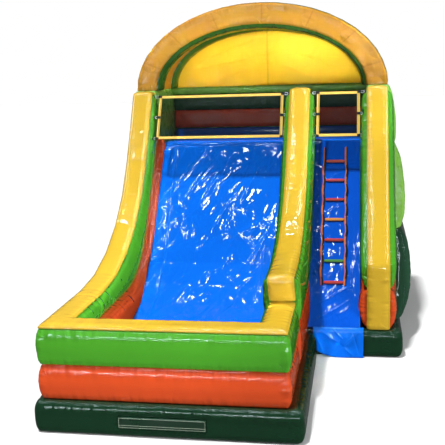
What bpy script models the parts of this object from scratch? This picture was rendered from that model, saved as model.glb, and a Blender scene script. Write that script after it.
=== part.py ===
"""Inflatable slide with a splash pool, a slide lane and a climbing lane beside it.

Metres, +Z up. The origin is on the floor, on the middle plane of the tower, three metres behind
the front of the pool wall. +X is to the right of someone who faces the pool, +Y goes to the tower.
"""

import math

import bmesh
import bpy
from mathutils import Vector

for old in list(bpy.data.objects):
    bpy.data.objects.remove(old, do_unlink=True)

# Clearance between pieces that touch
GAP = 0.0003

# Plan
BAND_WIDTH = 0.37
SLIDE_LANE_WIDTH = 2.39
CLIMB_LANE_WIDTH = 0.92
POOL_FRONT = -3.0
STEP_Y = -0.15
LEFT_JOIN_Y = -1.72
SLOPE_TOP_Y = 1.80
PLATFORM_FRONT = 2.02
ARCH_FRONT = 2.10
ROOM_BACK = 3.30
REAR_FACE = 3.70
LEDGE = 0.09
SIDE_LEDGE = 0.175
BASE_CORNER = 0.07
STEP_CORNER = 0.22

# Heights
BASE_HEIGHT = 0.42
OUTER_SEAM_HEIGHT = 0.86
INNER_SEAM_HEIGHT = 1.05
POOL_WALL_HEIGHT = 1.40
MATTRESS_HEIGHT = 0.18
PLATFORM_HEIGHT = 3.12
WALL_TOP = 4.04
SPRING_HEIGHT = 4.05

# Slopes, bends and ends of the walls and lanes
LANE_SLOPE = math.radians(54.0)
LANE_BEND = 2.4
LANE_START_DROP = 0.06
SEAM_RISE = 0.18
SEAM_BEND = 1.3
FOOT_DROP = 0.45
FOOT_BEND = 0.5
LEFT_SLOPE = math.radians(60.0)
LEFT_BEND = 3.0
DIVIDER_SLOPE = math.radians(50.0)
DIVIDER_BEND = 3.0
DIVIDER_LEVEL = 1.80
DIVIDER_NOSE_Y = -2.12
DIVIDER_SET_BACK = 0.27
DIVIDER_NOSE_RADIUS = 0.08
RIGHT_NOSE_Y = -0.10
RIGHT_NOSE_HEIGHT = 1.43
RIGHT_NOSE_RADIUS = 0.16
RIGHT_SEAM_BEND = 0.6
CLIMB_FOOT_Y = -0.12
CLIMB_FOOT_RISE = 0.04

# Swell of the chambers past their seams
SEAM_INSET = 0.012
CAP_THICKNESS = 0.06
UPPER_SWELL = 0.06
LANE_SWELL = 0.16
OUTER_SWELL = 0.06
POOL_SWELL = 0.035
CLIMB_LEFT_SWELL = 0.04
CLIMB_RIGHT_SWELL = 0.11

# Liners
LINER_THICKNESS = 0.012
EDGE_STAND_OFF = 0.012

# Courses round the tower
COURSE_SEAM_1 = 1.70
COURSE_SEAM_2 = 3.05
COURSE_INNER_LAP = 0.02
LOWER_FOOT_OUT = 0.19
LOWER_HEAD_OUT = 0.22
MIDDLE_FOOT_OUT = 0.21
MIDDLE_HEAD_OUT = 0.12
UPPER_FOOT_OUT = 0.12
UPPER_HEAD_OUT = 0.02
LOWER_SWELL = 0.15
MIDDLE_SWELL = 0.12
UPPER_COURSE_SWELL = 0.055
UPPER_INNER_SWELL = 0.03
REAR_SWELL_SHARE = 0.6
REAR_COURSE_DEPTH = 0.23

# Room behind the nets
ROOM_CLEARANCE = 0.005
LIP_HEIGHT = 3.27
BEAM_FOOT = 3.28
BEAM_SEAM = 3.62
BEAM_HEAD = 3.92
BEAM_DEPTH = 0.12
BEAM_SWELL = 0.035

# Arches
ARCH_RISE = 1.45
ARCH_FACE_WIDTH = 0.36
ARCH_FACE_THICKNESS = 0.05
ARCH_TUBE_DEPTH = 0.38
ARCH_INNER_SWELL = 0.08
ARCH_STEPS = 22
CANOPY_INSET = 0.008
CANOPY_THICKNESS = 0.014
PANEL_THICKNESS = 0.012

# Safety nets
NET_TOP = (1.90, 3.96)
NET_FOOT = (1.50, 3.24)
NET_SIDE_GAP = 0.10
WEBBING_WIDTH = 0.048
WEBBING_THICKNESS = 0.008
STRAP_WIDTH = 0.026
STRAP_CLEARANCE = 0.005
STRAND = 0.008
NET_PITCH = 0.118

# Ladder
RUNG_COUNT = 7
RUNG_PITCH = 0.373
FIRST_RUNG = 0.74
LADDER_OFFSET = -0.048
LADDER_WIDTH = 0.355
RAIL_WIDTH = 0.045
RAIL_THICKNESS = 0.008
RAIL_LIFT = 0.004
RAIL_WAVE = 0.022
RUNG_WIDTH = 0.056
RUNG_THICKNESS = 0.034

# Entry step cover
STEP_LEFT_GAP = 0.115
STEP_RIGHT_GAP = 0.04
STEP_COVER_THICKNESS = 0.035

# Deflation zip behind its flap
FLAP_OFFSET = 0.005
FLAP_WIDTH = 1.10
FLAP_HEIGHT = 0.145
FLAP_TOP_Z = 0.275
FLAP_THICKNESS = 0.005
HEM_RADIUS = 0.010
ZIP_WIDTH = 1.00
ZIP_TAPE_HEIGHT = 0.034
ZIP_TAPE_THICKNESS = 0.003
SLIDER_LENGTH = 0.034
SLIDER_HEIGHT = 0.020
SLIDER_THICKNESS = 0.007

# Inflation sleeve
SLEEVE_FROM_SIDE = 0.91
SLEEVE_WIDTH = 0.34
SLEEVE_HEIGHT = 0.24
SLEEVE_WALL = 0.006
SLEEVE_LENGTH = 0.60

# Anchor rings at the rear corners
ANCHOR_FROM_SIDE = 0.26
ANCHOR_TOP_Z = 0.26
RING_WIDTH = 0.078
RING_HEIGHT = 0.062
RING_WIRE = 0.0045
TAB_WIDTH = 0.050
TAB_LENGTH = 0.110
TAB_THICKNESS = 0.005
LOOP_CLEARANCE = 0.0015

# Sizes that follow
HALF_BAND = BAND_WIDTH / 2
TOWER_HALF = (3 * BAND_WIDTH + SLIDE_LANE_WIDTH + CLIMB_LANE_WIDTH) / 2
LEFT_X = -TOWER_HALF + HALF_BAND
DIVIDER_X = LEFT_X + BAND_WIDTH + SLIDE_LANE_WIDTH
RIGHT_X = TOWER_HALF - HALF_BAND
SEAM_HALF = HALF_BAND - SEAM_INSET
POOL_RIGHT = DIVIDER_X + HALF_BAND
FLOOR_HEIGHT = BASE_HEIGHT + MATTRESS_HEIGHT
CLIMB_FOOT_HEIGHT = BASE_HEIGHT + CLIMB_FOOT_RISE
COURSE_INNER_X = TOWER_HALF - BAND_WIDTH + COURSE_INNER_LAP
ROOM_HALF = COURSE_INNER_X - UPPER_INNER_SWELL - ROOM_CLEARANCE
LADDER_X = (DIVIDER_X + RIGHT_X) / 2 + LADDER_OFFSET
STEP_LEFT = POOL_RIGHT + STEP_LEFT_GAP
STEP_RIGHT = RIGHT_X - HALF_BAND - STEP_RIGHT_GAP
FLAP_X = (LEFT_X + DIVIDER_X) / 2 + FLAP_OFFSET
SLEEVE_X = SLEEVE_FROM_SIDE - TOWER_HALF
ANCHOR_X = TOWER_HALF - ANCHOR_FROM_SIDE
POOL_BACK_INNER = POOL_FRONT + HALF_BAND + SEAM_HALF + LANE_SWELL
BASE_FRONT = POOL_FRONT - LEDGE
BASE_LEFT = -TOWER_HALF - LEDGE
BASE_RIGHT = TOWER_HALF + SIDE_LEDGE
BASE_BACK = REAR_FACE + LEDGE
ON_BASE = BASE_HEIGHT + GAP
NOSE_FALL = DIVIDER_LEVEL - POOL_WALL_HEIGHT
NOSE_CAP_DEPTH = CAP_THICKNESS * math.hypot(DIVIDER_SET_BACK, NOSE_FALL) / NOSE_FALL
DIVIDER_END_Y = DIVIDER_NOSE_Y + DIVIDER_SET_BACK + NOSE_CAP_DEPTH + GAP
RIGHT_END_Y = RIGHT_NOSE_Y + CAP_THICKNESS + 2 * GAP
SEAM_TILT = (INNER_SEAM_HEIGHT - OUTER_SEAM_HEIGHT) / BAND_WIDTH
MIDDLE_SEAM_HEIGHT = (INNER_SEAM_HEIGHT + OUTER_SEAM_HEIGHT) / 2
FOOT_TOP = PLATFORM_HEIGHT - FOOT_DROP
ARCH_INNER_A = TOWER_HALF - ARCH_FACE_WIDTH
ARCH_INNER_B = ARCH_RISE - ARCH_FACE_WIDTH
REAR_COURSE_FRONT = REAR_FACE - REAR_COURSE_DEPTH

# Colours of the vinyl and webbing: red, green, blue, roughness and metallic
FINISHES = {
    "base": (0.012, 0.045, 0.03, 0.25, 0.0),
    "dark": (0.02, 0.09, 0.05, 0.25, 0.0),
    "orange": (0.80, 0.13, 0.03, 0.22, 0.0),
    "green": (0.13, 0.50, 0.05, 0.22, 0.0),
    "lime": (0.22, 0.55, 0.09, 0.25, 0.0),
    "yellow": (0.90, 0.52, 0.03, 0.22, 0.0),
    "blue": (0.01, 0.16, 0.75, 0.18, 0.0),
    "mesh": (0.02, 0.03, 0.03, 0.7, 0.0),
    "webbing": (0.85, 0.62, 0.15, 0.6, 0.0),
    "red": (0.72, 0.05, 0.03, 0.55, 0.0),
    "coral": (0.82, 0.16, 0.08, 0.55, 0.0),
    "pink": (0.80, 0.10, 0.14, 0.55, 0.0),
    "amber": (0.90, 0.42, 0.04, 0.55, 0.0),
    "leaf": (0.10, 0.45, 0.08, 0.55, 0.0),
    "black": (0.01, 0.01, 0.01, 0.6, 0.0),
    "steel": (0.6, 0.6, 0.6, 0.3, 1.0),
}
RUNG_FINISHES = ("coral", "pink", "red", "amber", "red", "leaf", "red")


def material(name, finish):
    """A Principled material for one piece."""
    red, green, blue, rough, metal = FINISHES[finish]
    made = bpy.data.materials.new(name)
    made.use_nodes = True
    made.diffuse_color = (red, green, blue, 1.0)
    shader = made.node_tree.nodes["Principled BSDF"]
    shader.inputs["Base Color"].default_value = (red, green, blue, 1.0)
    shader.inputs["Roughness"].default_value = rough
    shader.inputs["Metallic"].default_value = metal
    return made


def place(name, bm, finish, origin=(0, 0, 0)):
    """Turns a finished bmesh into a named object whose origin is at the given place."""
    bmesh.ops.recalc_face_normals(bm, faces=bm.faces)
    bmesh.ops.translate(bm, vec=-Vector(origin), verts=bm.verts)
    mesh = bpy.data.meshes.new(name)
    bm.to_mesh(mesh)
    bm.free()
    mesh.shade_smooth()
    mesh.set_sharp_from_angle(angle=math.radians(50))
    mesh.materials.append(material(name, finish))
    made = bpy.data.objects.new(name, mesh)
    made.location = origin
    bpy.context.collection.objects.link(made)
    return made


def loft(name, rings, finish, origin=(0, 0, 0), closed=False, ladder=False):
    """A body through rings of equally many points. Its ends are capped unless it closes on itself.

    A ladder cap joins the two sides of a ring step by step, which suits ends that aren't flat.
    """
    bm = bmesh.new()
    rows = [[bm.verts.new(point) for point in ring] for ring in rings]
    count = len(rows[0])
    pairs = list(zip(rows, rows[1:]))
    if closed:
        pairs.append((rows[-1], rows[0]))
    for near, far in pairs:
        for i in range(count):
            bm.faces.new((near[i], near[(i + 1) % count], far[(i + 1) % count], far[i]))
    ends = [] if closed else [rows[0], rows[-1]]
    for row in ends:
        if ladder:
            for i in range(count // 2 - 1):
                bm.faces.new((row[i], row[i + 1], row[count - 2 - i], row[count - 1 - i]))
        else:
            bm.faces.new(row)
    return place(name, bm, finish, origin)


def swell(share):
    """Bulge of a chamber at a share of the way between its two seams."""
    return max(math.sin(math.pi * share), 0.0) ** 0.6


def chamber_section(left, right, half=SEAM_HALF, steps=6):
    """Outline of a chamber: sideways places, each with its share of the height."""
    shares = [i / steps for i in range(steps + 1)]
    right_side = [(half + right * swell(share), share) for share in shares]
    left_side = [(-half - left * swell(share), share) for share in reversed(shares)]
    return right_side + left_side


def cap_section():
    """Outline of the crowned top panel of a wall."""
    half = HALF_BAND - 0.008
    right_side = [(half, 0.0), (half + 0.005, 0.35), (half * 0.9, 0.80), (half * 0.5, 0.97)]
    left_side = [(-across, share) for across, share in reversed(right_side)]
    return right_side + [(0.0, 1.0)] + left_side


def course(name, rails, section, finish, tilts=(0.0, 0.0), ladder=True):
    """A chamber between pairs of lower and upper points, tilted sideways by its two seam tilts."""
    rings = []
    for rail in rails:
        low, high = Vector(rail[0]), Vector(rail[1])
        across = Vector(rail[2]) if len(rail) > 2 else Vector((1, 0, 0))
        ring = []
        for side, share in section:
            tilt = tilts[0] + (tilts[1] - tilts[0]) * share
            ring.append(low.lerp(high, share) + across * side + Vector((0, 0, tilt * side)))
        rings.append(ring)
    return loft(name, rings, finish, ladder=ladder)


def spaced(start, end, count):
    """Evenly spaced points from start up to, and without, end."""
    return [tuple(Vector(start).lerp(Vector(end), i / count)) for i in range(count)]


def side_line(top, slope, level, radius, end_y):
    """Side view of a wall or lane in 12 points: down its slope, round its bend, level to its end."""
    corner_y = top[0] - (top[1] - level) / math.tan(slope)
    reach = radius * math.tan(slope / 2)
    start = (corner_y + reach * math.cos(slope), level + reach * math.sin(slope))
    line = spaced(top, start, 3)
    for i in range(6):
        angle = slope * (1 - i / 5)
        line.append((corner_y - reach + radius * math.sin(angle), level + radius * (1 - math.cos(angle))))
    return line + spaced(line[-1], (end_y, level), 3)[1:] + [(end_y, level)]


def offset_line(line, distance):
    """A side view line moved square to itself, down and inwards."""
    moved = []
    for i, point in enumerate(line):
        here = Vector(point)
        before = Vector(line[max(i - 1, 0)])
        after = Vector(line[min(i + 1, len(line) - 1)])
        first = (here - before).normalized() if i > 0 else (after - here).normalized()
        second = (after - here).normalized() if i < len(line) - 1 else first
        along = (first + second).normalized()
        square = Vector((-along.y, along.x))
        moved.append(tuple(here + square * distance / first.dot(along)))
    return moved


def at_x(x, line):
    """Places a side view line in the plane at x."""
    return [(x, y, z) for y, z in line]


def height_on(line, y):
    """Height of a side view line at y."""
    for (y1, z1), (y2, z2) in zip(line, line[1:]):
        if min(y1, y2) <= y <= max(y1, y2) and y1 != y2:
            return z1 + (z2 - z1) * (y - y1) / (y2 - y1)
    return line[0][1] if y > line[0][0] else line[-1][1]


def rounded_rectangle(left, right, front, back, corner, rear_right, steps=4):
    """Corner points of a rounded rectangle in plan, with its own radius at the rear right."""
    centres = (
        (right - rear_right, back - rear_right, 0, rear_right),
        (left + corner, back - corner, 90, corner),
        (left + corner, front + corner, 180, corner),
        (right - corner, front + corner, 270, corner),
    )
    outline = []
    for x, y, start, radius in centres:
        for i in range(steps + 1):
            angle = math.radians(start + 90 * i / steps)
            outline.append((x + radius * math.cos(angle), y + radius * math.sin(angle)))
    return outline


def base_chamber(name, left, right, front, back, rear_right):
    """A low chamber with a flat bottom and flat faces between rounded edges."""
    levels = (
        (0.0, 0.035),
        (0.035, 0.010),
        (0.10, 0.0),
        (BASE_HEIGHT - 0.10, 0.0),
        (BASE_HEIGHT - 0.035, 0.012),
        (BASE_HEIGHT, 0.045),
    )
    rings = []
    for height, inset in levels:
        plan = rounded_rectangle(
            left + inset, right - inset, front + inset, back - inset, BASE_CORNER - inset, rear_right - inset
        )
        rings.append([(x, y, height) for x, y in plan])
    loft(name, rings, "base")


def build_bases():
    base_right = POOL_RIGHT + SIDE_LEDGE
    base_chamber("pool_base", BASE_LEFT, base_right, BASE_FRONT, STEP_Y - GAP, STEP_CORNER)
    base_chamber("tower_base", BASE_LEFT, BASE_RIGHT, STEP_Y, BASE_BACK, BASE_CORNER)


def pool_rails(low, high):
    """Pairs of points of the pool wall: left arm, front and right arm, mitred at the two corners."""
    front = POOL_FRONT + HALF_BAND
    stops = (
        (LEFT_X, LEFT_JOIN_Y - GAP, (-1, 0)),
        (LEFT_X, (LEFT_JOIN_Y + front) / 2, (-1, 0)),
        (LEFT_X, front, (-1, -1)),
        ((LEFT_X + DIVIDER_X) / 2, front, (0, -1)),
        (DIVIDER_X, front, (1, -1)),
        (DIVIDER_X, (DIVIDER_END_Y + front) / 2, (1, 0)),
        (DIVIDER_X, DIVIDER_END_Y - 2 * GAP, (1, 0)),
    )
    return [((x, y, low), (x, y, high), (out_x, out_y, 0)) for x, y, (out_x, out_y) in stops]


def build_pool_wall():
    lower = chamber_section(LANE_SWELL, POOL_SWELL)
    upper = chamber_section(UPPER_SWELL, POOL_SWELL)
    seam = MIDDLE_SEAM_HEIGHT
    under_cap = POOL_WALL_HEIGHT - CAP_THICKNESS
    course("pool_wall_lower", pool_rails(ON_BASE, seam - GAP), lower, "orange", (0, -SEAM_TILT))
    course("pool_wall_upper", pool_rails(seam, under_cap - GAP), upper, "green", (-SEAM_TILT, 0))
    course("pool_wall_cap", pool_rails(under_cap, POOL_WALL_HEIGHT), cap_section(), "yellow", ladder=False)


def lane_line(end_y):
    """Side view of the slide lane's surface."""
    top = (PLATFORM_FRONT, PLATFORM_HEIGHT - LANE_START_DROP)
    return side_line(top, LANE_SLOPE, FLOOR_HEIGHT, LANE_BEND, end_y)


def foot_line(end_y):
    """Side view of the walls' lower edge."""
    return side_line((PLATFORM_FRONT, FOOT_TOP), LANE_SLOPE, ON_BASE, FOOT_BEND, end_y)


def seam_line(end_y, radius=SEAM_BEND):
    """Side view of the seam between the walls' lower and upper chambers."""
    top = (PLATFORM_FRONT, PLATFORM_HEIGHT + SEAM_RISE)
    return side_line(top, LANE_SLOPE, INNER_SEAM_HEIGHT, radius, end_y)


def extra_point(line):
    """Adds a point near the start of a line, so that it pairs with a top line and its shoulder."""
    return [line[0], tuple(Vector(line[0]).lerp(Vector(line[1]), 0.3))] + line[1:]


def nose_line(corner, arriving, end, radius):
    """Side view of a wall's nose: round its corner from the top's direction, then to the end of its face."""
    arriving = Vector(arriving).normalized()
    leaving = (Vector(end) - Vector(corner)).normalized()
    turn = arriving.angle(leaving)
    start = Vector(corner) - arriving * radius * math.tan(turn / 2)
    inward = Vector((-arriving.y, arriving.x))
    centre = start + inward * radius
    line = []
    for i in range(6):
        angle = turn * i / 5
        line.append(tuple(centre - inward * math.cos(angle) * radius + arriving * math.sin(angle) * radius))
    return line + [tuple(end)]


def wall_chambers(name, x, sections, lines, tilt=0.0, overhang=()):
    """The lower and upper chambers of a wall between its foot, seam and top lines."""
    top, seam, foot = lines
    foot = extra_point(foot)
    middle = [(y, z - tilt * HALF_BAND) for y, z in extra_point(seam)]
    under = [(y, z - GAP) for y, z in middle]
    course(name + "_lower", list(zip(at_x(x, foot), at_x(x, under))), sections[0], "orange", (0, tilt))
    rails = list(zip(at_x(x, middle), at_x(x, top)))
    rails += [((x, *low), (x, *high)) for low, high in overhang]
    course(name + "_upper", rails, sections[1], "green", (tilt, 0))


def wall_cap(name, x, outer):
    """The top panel of a wall; it follows the whole outer line and ends flat at both ends."""
    inner = offset_line(outer, CAP_THICKNESS)
    inner[0] = (outer[0][0], outer[0][1] - CAP_THICKNESS)
    fall = outer[-1][1] - outer[-2][1]
    if abs(fall) > 0.001:
        run = (outer[-1][0] - outer[-2][0]) / fall
        inner[-1] = (inner[-1][0] + run * (outer[-1][1] - inner[-1][1]), outer[-1][1])
    course(name + "_cap", list(zip(at_x(x, inner), at_x(x, outer))), cap_section(), "yellow", ladder=False)


def left_top():
    """Outer line of the left wall's top panel."""
    slope = side_line((SLOPE_TOP_Y, WALL_TOP), LEFT_SLOPE, POOL_WALL_HEIGHT, LEFT_BEND, LEFT_JOIN_Y)
    return [(PLATFORM_FRONT, WALL_TOP)] + slope


def build_left_wall():
    sections = (chamber_section(POOL_SWELL, LANE_SWELL), chamber_section(POOL_SWELL, UPPER_SWELL))
    lines = (offset_line(left_top(), CAP_THICKNESS + GAP), seam_line(LEFT_JOIN_Y), foot_line(LEFT_JOIN_Y))
    wall_chambers("left_wall", LEFT_X, sections, lines, tilt=SEAM_TILT)
    wall_cap("left_wall", LEFT_X, left_top())


def divider_top():
    """Outer line of the divider's top panel as far as its nose starts to overhang."""
    slope = side_line((SLOPE_TOP_Y, WALL_TOP), DIVIDER_SLOPE, DIVIDER_LEVEL, DIVIDER_BEND, DIVIDER_END_Y)
    return [(PLATFORM_FRONT, WALL_TOP)] + slope


def build_divider():
    top = divider_top()
    end = (DIVIDER_NOSE_Y + DIVIDER_SET_BACK, POOL_WALL_HEIGHT + GAP)
    nose = nose_line((DIVIDER_NOSE_Y, DIVIDER_LEVEL), (-1, 0), end, DIVIDER_NOSE_RADIUS)
    under_cap = offset_line(top, CAP_THICKNESS + GAP)
    behind_nose = offset_line(top + nose, CAP_THICKNESS + 3 * GAP)
    face_top, face_end = behind_nose[-2:]
    foot_z = POOL_WALL_HEIGHT + 0.012
    lean = (face_top[0] - face_end[0]) / (face_top[1] - face_end[1])
    tip_y = face_end[0] + lean * (foot_z - face_end[1])
    head_z = under_cap[-1][1]
    start_y = DIVIDER_END_Y - GAP / 2
    overhang = (((start_y, foot_z), (start_y, head_z)), ((tip_y, foot_z), (nose[0][0] + 0.03, head_z)))
    sections = (
        chamber_section(LANE_SWELL, CLIMB_LEFT_SWELL),
        chamber_section(UPPER_SWELL, CLIMB_LEFT_SWELL),
    )
    lines = (under_cap, seam_line(DIVIDER_END_Y), foot_line(DIVIDER_END_Y))
    wall_chambers("divider", DIVIDER_X, sections, lines, overhang=overhang)
    wall_cap("divider", DIVIDER_X, top + nose)


def build_right_wall():
    start, corner = (SLOPE_TOP_Y, WALL_TOP), (RIGHT_NOSE_Y, RIGHT_NOSE_HEIGHT)
    fall = Vector(corner) - Vector(start)
    nose = nose_line(corner, fall, (RIGHT_NOSE_Y, ON_BASE), RIGHT_NOSE_RADIUS)
    outer = [(PLATFORM_FRONT, WALL_TOP)] + spaced(start, nose[0], 11) + nose
    under_cap = offset_line(outer, CAP_THICKNESS + GAP)[:13]
    sections = (
        chamber_section(CLIMB_RIGHT_SWELL, OUTER_SWELL + 0.02),
        chamber_section(UPPER_SWELL, OUTER_SWELL),
    )
    lines = (under_cap, seam_line(RIGHT_END_Y, RIGHT_SEAM_BEND), foot_line(RIGHT_END_Y))
    wall_chambers("right_wall", RIGHT_X, sections, lines)
    wall_cap("right_wall", RIGHT_X, outer)


def slab(name, left, right, low, high, finish):
    """A straight-sided body between a lower and an upper side view line."""
    rings = []
    for (low_y, low_z), (high_y, high_z) in zip(low, high):
        ring = [(left, low_y, low_z), (right, low_y, low_z), (right, high_y, high_z), (left, high_y, high_z)]
        rings.append(ring)
    loft(name, rings, finish)


def build_slide_lane():
    left = LEFT_X + SEAM_HALF + LANE_SWELL + GAP
    right = DIVIDER_X - SEAM_HALF - LANE_SWELL - GAP
    surface = lane_line(POOL_BACK_INNER + GAP)
    surface[0] = (PLATFORM_FRONT - GAP, surface[0][1])
    bed_top = offset_line(surface, LINER_THICKNESS + GAP)
    bed_top[0] = (surface[0][0], surface[0][1] - 2.0 * LINER_THICKNESS)
    underside = offset_line(surface, LINER_THICKNESS)
    underside[0] = (surface[0][0], surface[0][1] - 1.6 * LINER_THICKNESS)
    slab("slide_bed", left, right, [(y, ON_BASE) for y, z in bed_top], bed_top, "blue")
    slab("slide_liner", left, right, underside, surface, "blue")


def edge_ring(low, high, start, tilt):
    """Ring of the liner's turned-up edge over a chamber's side, from a share of its height to its seam."""
    outer, inner = [], []
    for i in range(5):
        share = start + (0.99 - start) * i / 4
        side = SEAM_HALF + LANE_SWELL * swell(share)
        y, z = Vector(low).lerp(Vector(high), share)
        z += tilt * side * share
        inner.append((DIVIDER_X - side - EDGE_STAND_OFF, y, z))
        outer.append((DIVIDER_X - side - EDGE_STAND_OFF - LINER_THICKNESS, y, z))
    return outer + inner[::-1]


def build_turned_up_edge():
    """The slide liner's edge, turned up over the divider and over the pool's right arm to their seam."""
    lane = lane_line(POOL_BACK_INNER)
    turn_y = DIVIDER_END_Y + 0.06
    rings = []
    for low, high in zip(extra_point(foot_line(turn_y)), extra_point(seam_line(turn_y))):
        start = 0.0
        while start < 0.9:
            y, z = Vector(low).lerp(Vector(high), start)
            if z > height_on(lane, y) + EDGE_STAND_OFF:
                break
            start += 0.01
        rings.append(edge_ring(low, high, start, 0.0))
    reach = MIDDLE_SEAM_HEIGHT - ON_BASE
    start = (FLOOR_HEIGHT + EDGE_STAND_OFF - ON_BASE) / (reach + SEAM_TILT * (SEAM_HALF + LANE_SWELL))
    for y in (DIVIDER_END_Y, POOL_BACK_INNER + 0.02):
        rings.append(edge_ring((y, ON_BASE), (y, MIDDLE_SEAM_HEIGHT), start, SEAM_TILT))
    loft("slide_liner_edge", rings, "blue", ladder=True)


def climb_point(distance, lift=0.0):
    """Side view point at a distance up the climbing lane from its foot, lifted off its surface."""
    foot = Vector((CLIMB_FOOT_Y, CLIMB_FOOT_HEIGHT))
    along = (Vector((PLATFORM_FRONT, PLATFORM_HEIGHT)) - foot).normalized()
    return foot + along * distance + Vector((-along.y, along.x)) * lift


def build_climb_lane():
    left = DIVIDER_X + SEAM_HALF + CLIMB_LEFT_SWELL + GAP
    right = RIGHT_X - SEAM_HALF - CLIMB_RIGHT_SWELL - GAP
    length = math.hypot(PLATFORM_FRONT - CLIMB_FOOT_Y, PLATFORM_HEIGHT - CLIMB_FOOT_HEIGHT) - 0.002
    distances = [length * i / 6 for i in range(7)]
    surface = [tuple(climb_point(distance)) for distance in distances]
    underside = [tuple(climb_point(distance, -LINER_THICKNESS)) for distance in distances]
    underside[-1] = (surface[-1][0], surface[-1][1] - 1.6 * LINER_THICKNESS)
    bed_top = [tuple(climb_point(distance, -LINER_THICKNESS - GAP)) for distance in distances]
    bed_top[-1] = (surface[-1][0], surface[-1][1] - 2.0 * LINER_THICKNESS)
    slab("climb_bed", left, right, [(y, ON_BASE) for y, z in bed_top], bed_top, "blue")
    slab("climb_liner", left, right, underside, surface, "blue")


def build_step_cover():
    """Padded cover that hangs from the climbing lane's foot over the base's front to the floor."""
    back = STEP_Y - 0.008
    front = back - STEP_COVER_THICKNESS
    start = CLIMB_FOOT_Y - 0.014
    stations = (
        (start, BASE_HEIGHT + 0.056, start, BASE_HEIGHT + 0.016, STEP_LEFT),
        (front + 0.02, BASE_HEIGHT + 0.038, back + 0.008, BASE_HEIGHT + 0.008, STEP_LEFT),
        (front, BASE_HEIGHT - 0.01, back, BASE_HEIGHT - 0.025, STEP_LEFT),
        (front, 0.22, back, 0.22, STEP_LEFT),
        (front, 0.11, back, 0.11, STEP_LEFT + 0.045),
        (front, 0.04, back, 0.04, STEP_LEFT + 0.165),
        (front, 0.004, back, 0.004, STEP_LEFT + 0.325),
    )
    rings = []
    for outer_y, outer_z, inner_y, inner_z, left in stations:
        ring = [(left, outer_y, outer_z), (STEP_RIGHT, outer_y, outer_z)]
        rings.append(ring + [(STEP_RIGHT, inner_y, inner_z), (left, inner_y, inner_z)])
    loft("step_cover", rings, "blue")


def build_platform():
    top = (
        (PLATFORM_FRONT, PLATFORM_HEIGHT - LANE_START_DROP),
        (PLATFORM_FRONT + 0.02, PLATFORM_HEIGHT - 0.02),
        (PLATFORM_FRONT + 0.07, PLATFORM_HEIGHT),
        (ROOM_BACK - 0.03, PLATFORM_HEIGHT),
        (ROOM_BACK, PLATFORM_HEIGHT + 0.03),
        (ROOM_BACK + 0.01, LIP_HEIGHT - 0.02),
        (ROOM_BACK + 0.03, LIP_HEIGHT),
        (REAR_COURSE_FRONT - GAP, LIP_HEIGHT),
    )
    slab("platform", -ROOM_HALF, ROOM_HALF, [(y, ON_BASE) for y, z in top], top, "blue")


def build_room():
    middle = REAR_COURSE_FRONT - BEAM_DEPTH / 2 - 2 * GAP
    beams = (
        ("room_beam_lower", BEAM_FOOT, BEAM_SEAM - GAP, BEAM_SWELL, "orange"),
        ("room_beam_upper", BEAM_SEAM, BEAM_HEAD - GAP, BEAM_SWELL, "dark"),
        ("room_rail", BEAM_HEAD, SPRING_HEIGHT - GAP, BEAM_SWELL / 2, "lime"),
    )
    for name, low, high, bulge, finish in beams:
        section = chamber_section(bulge, 0.0, half=BEAM_DEPTH / 2, steps=5)
        rails = [((x, middle, low), (x, middle, high), (0, 1, 0)) for x in (-ROOM_HALF, 0, ROOM_HALF)]
        course(name, rails, section, finish)


def front_edge(z):
    """Y of a side course's front end: behind the walls' lower edge, then behind their rear ends."""
    return PLATFORM_FRONT - max(FOOT_TOP - z, 0) / math.tan(LANE_SLOPE) + 3 * GAP


def side_course(name, side, low, high, edges, bulge, inner_bulge, finish):
    """One course of the tower's side, from behind the wall to the rear corner."""
    shares = [i / 6 for i in range(7)]
    corner = (FOOT_TOP - low) / (high - low)
    if 0 < corner < 1:
        shares = sorted(shares + [corner])
    rings = []
    for where, fullness in ((0.0, 0.35), (0.05, 1.0), (0.5, 1.0), (0.95, 1.0), (1.0, 0.35)):
        outer, inner = [], []
        for share in shares:
            z = low + (high - low) * share
            y = front_edge(z) + (REAR_FACE - front_edge(z)) * where
            edge = edges[0] + (edges[1] - edges[0]) * share
            outer.append((side * (edge + bulge * (swell(share) * fullness + fullness - 1)), y, z))
            inner.append((side * (COURSE_INNER_X - inner_bulge * swell(share)), y, z))
        rings.append(outer + inner[::-1])
    loft(name, rings, finish, ladder=True)


def build_tower_courses():
    lower_edges = (TOWER_HALF + LOWER_FOOT_OUT, TOWER_HALF + LOWER_HEAD_OUT)
    middle_edges = (TOWER_HALF + MIDDLE_FOOT_OUT, TOWER_HALF + MIDDLE_HEAD_OUT)
    upper_edges = (TOWER_HALF + UPPER_FOOT_OUT, TOWER_HALF + UPPER_HEAD_OUT)
    levels = (
        ("lower", ON_BASE, COURSE_SEAM_1 - GAP, lower_edges, LOWER_SWELL, 0.0, "dark"),
        ("middle", COURSE_SEAM_1, COURSE_SEAM_2 - GAP, middle_edges, MIDDLE_SWELL, 0.0, "lime"),
        ("upper", COURSE_SEAM_2, SPRING_HEIGHT, upper_edges, UPPER_COURSE_SWELL, UPPER_INNER_SWELL, "lime"),
    )
    middle = REAR_FACE - REAR_COURSE_DEPTH / 2
    for level, low, high, edges, bulge, inner_bulge, finish in levels:
        for side_name, side in (("left", -1), ("right", 1)):
            name = "tower_" + level + "_" + side_name
            side_course(name, side, low, high, edges, bulge, inner_bulge, finish)
        half = COURSE_INNER_X - 2 * GAP - inner_bulge
        section = chamber_section(0.0, bulge * REAR_SWELL_SHARE, half=REAR_COURSE_DEPTH / 2)
        rails = [((x, middle, low), (x, middle, high), (0, 1, 0)) for x in (-half, 0, half)]
        course("tower_" + level + "_rear", rails, section, finish)


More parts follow.
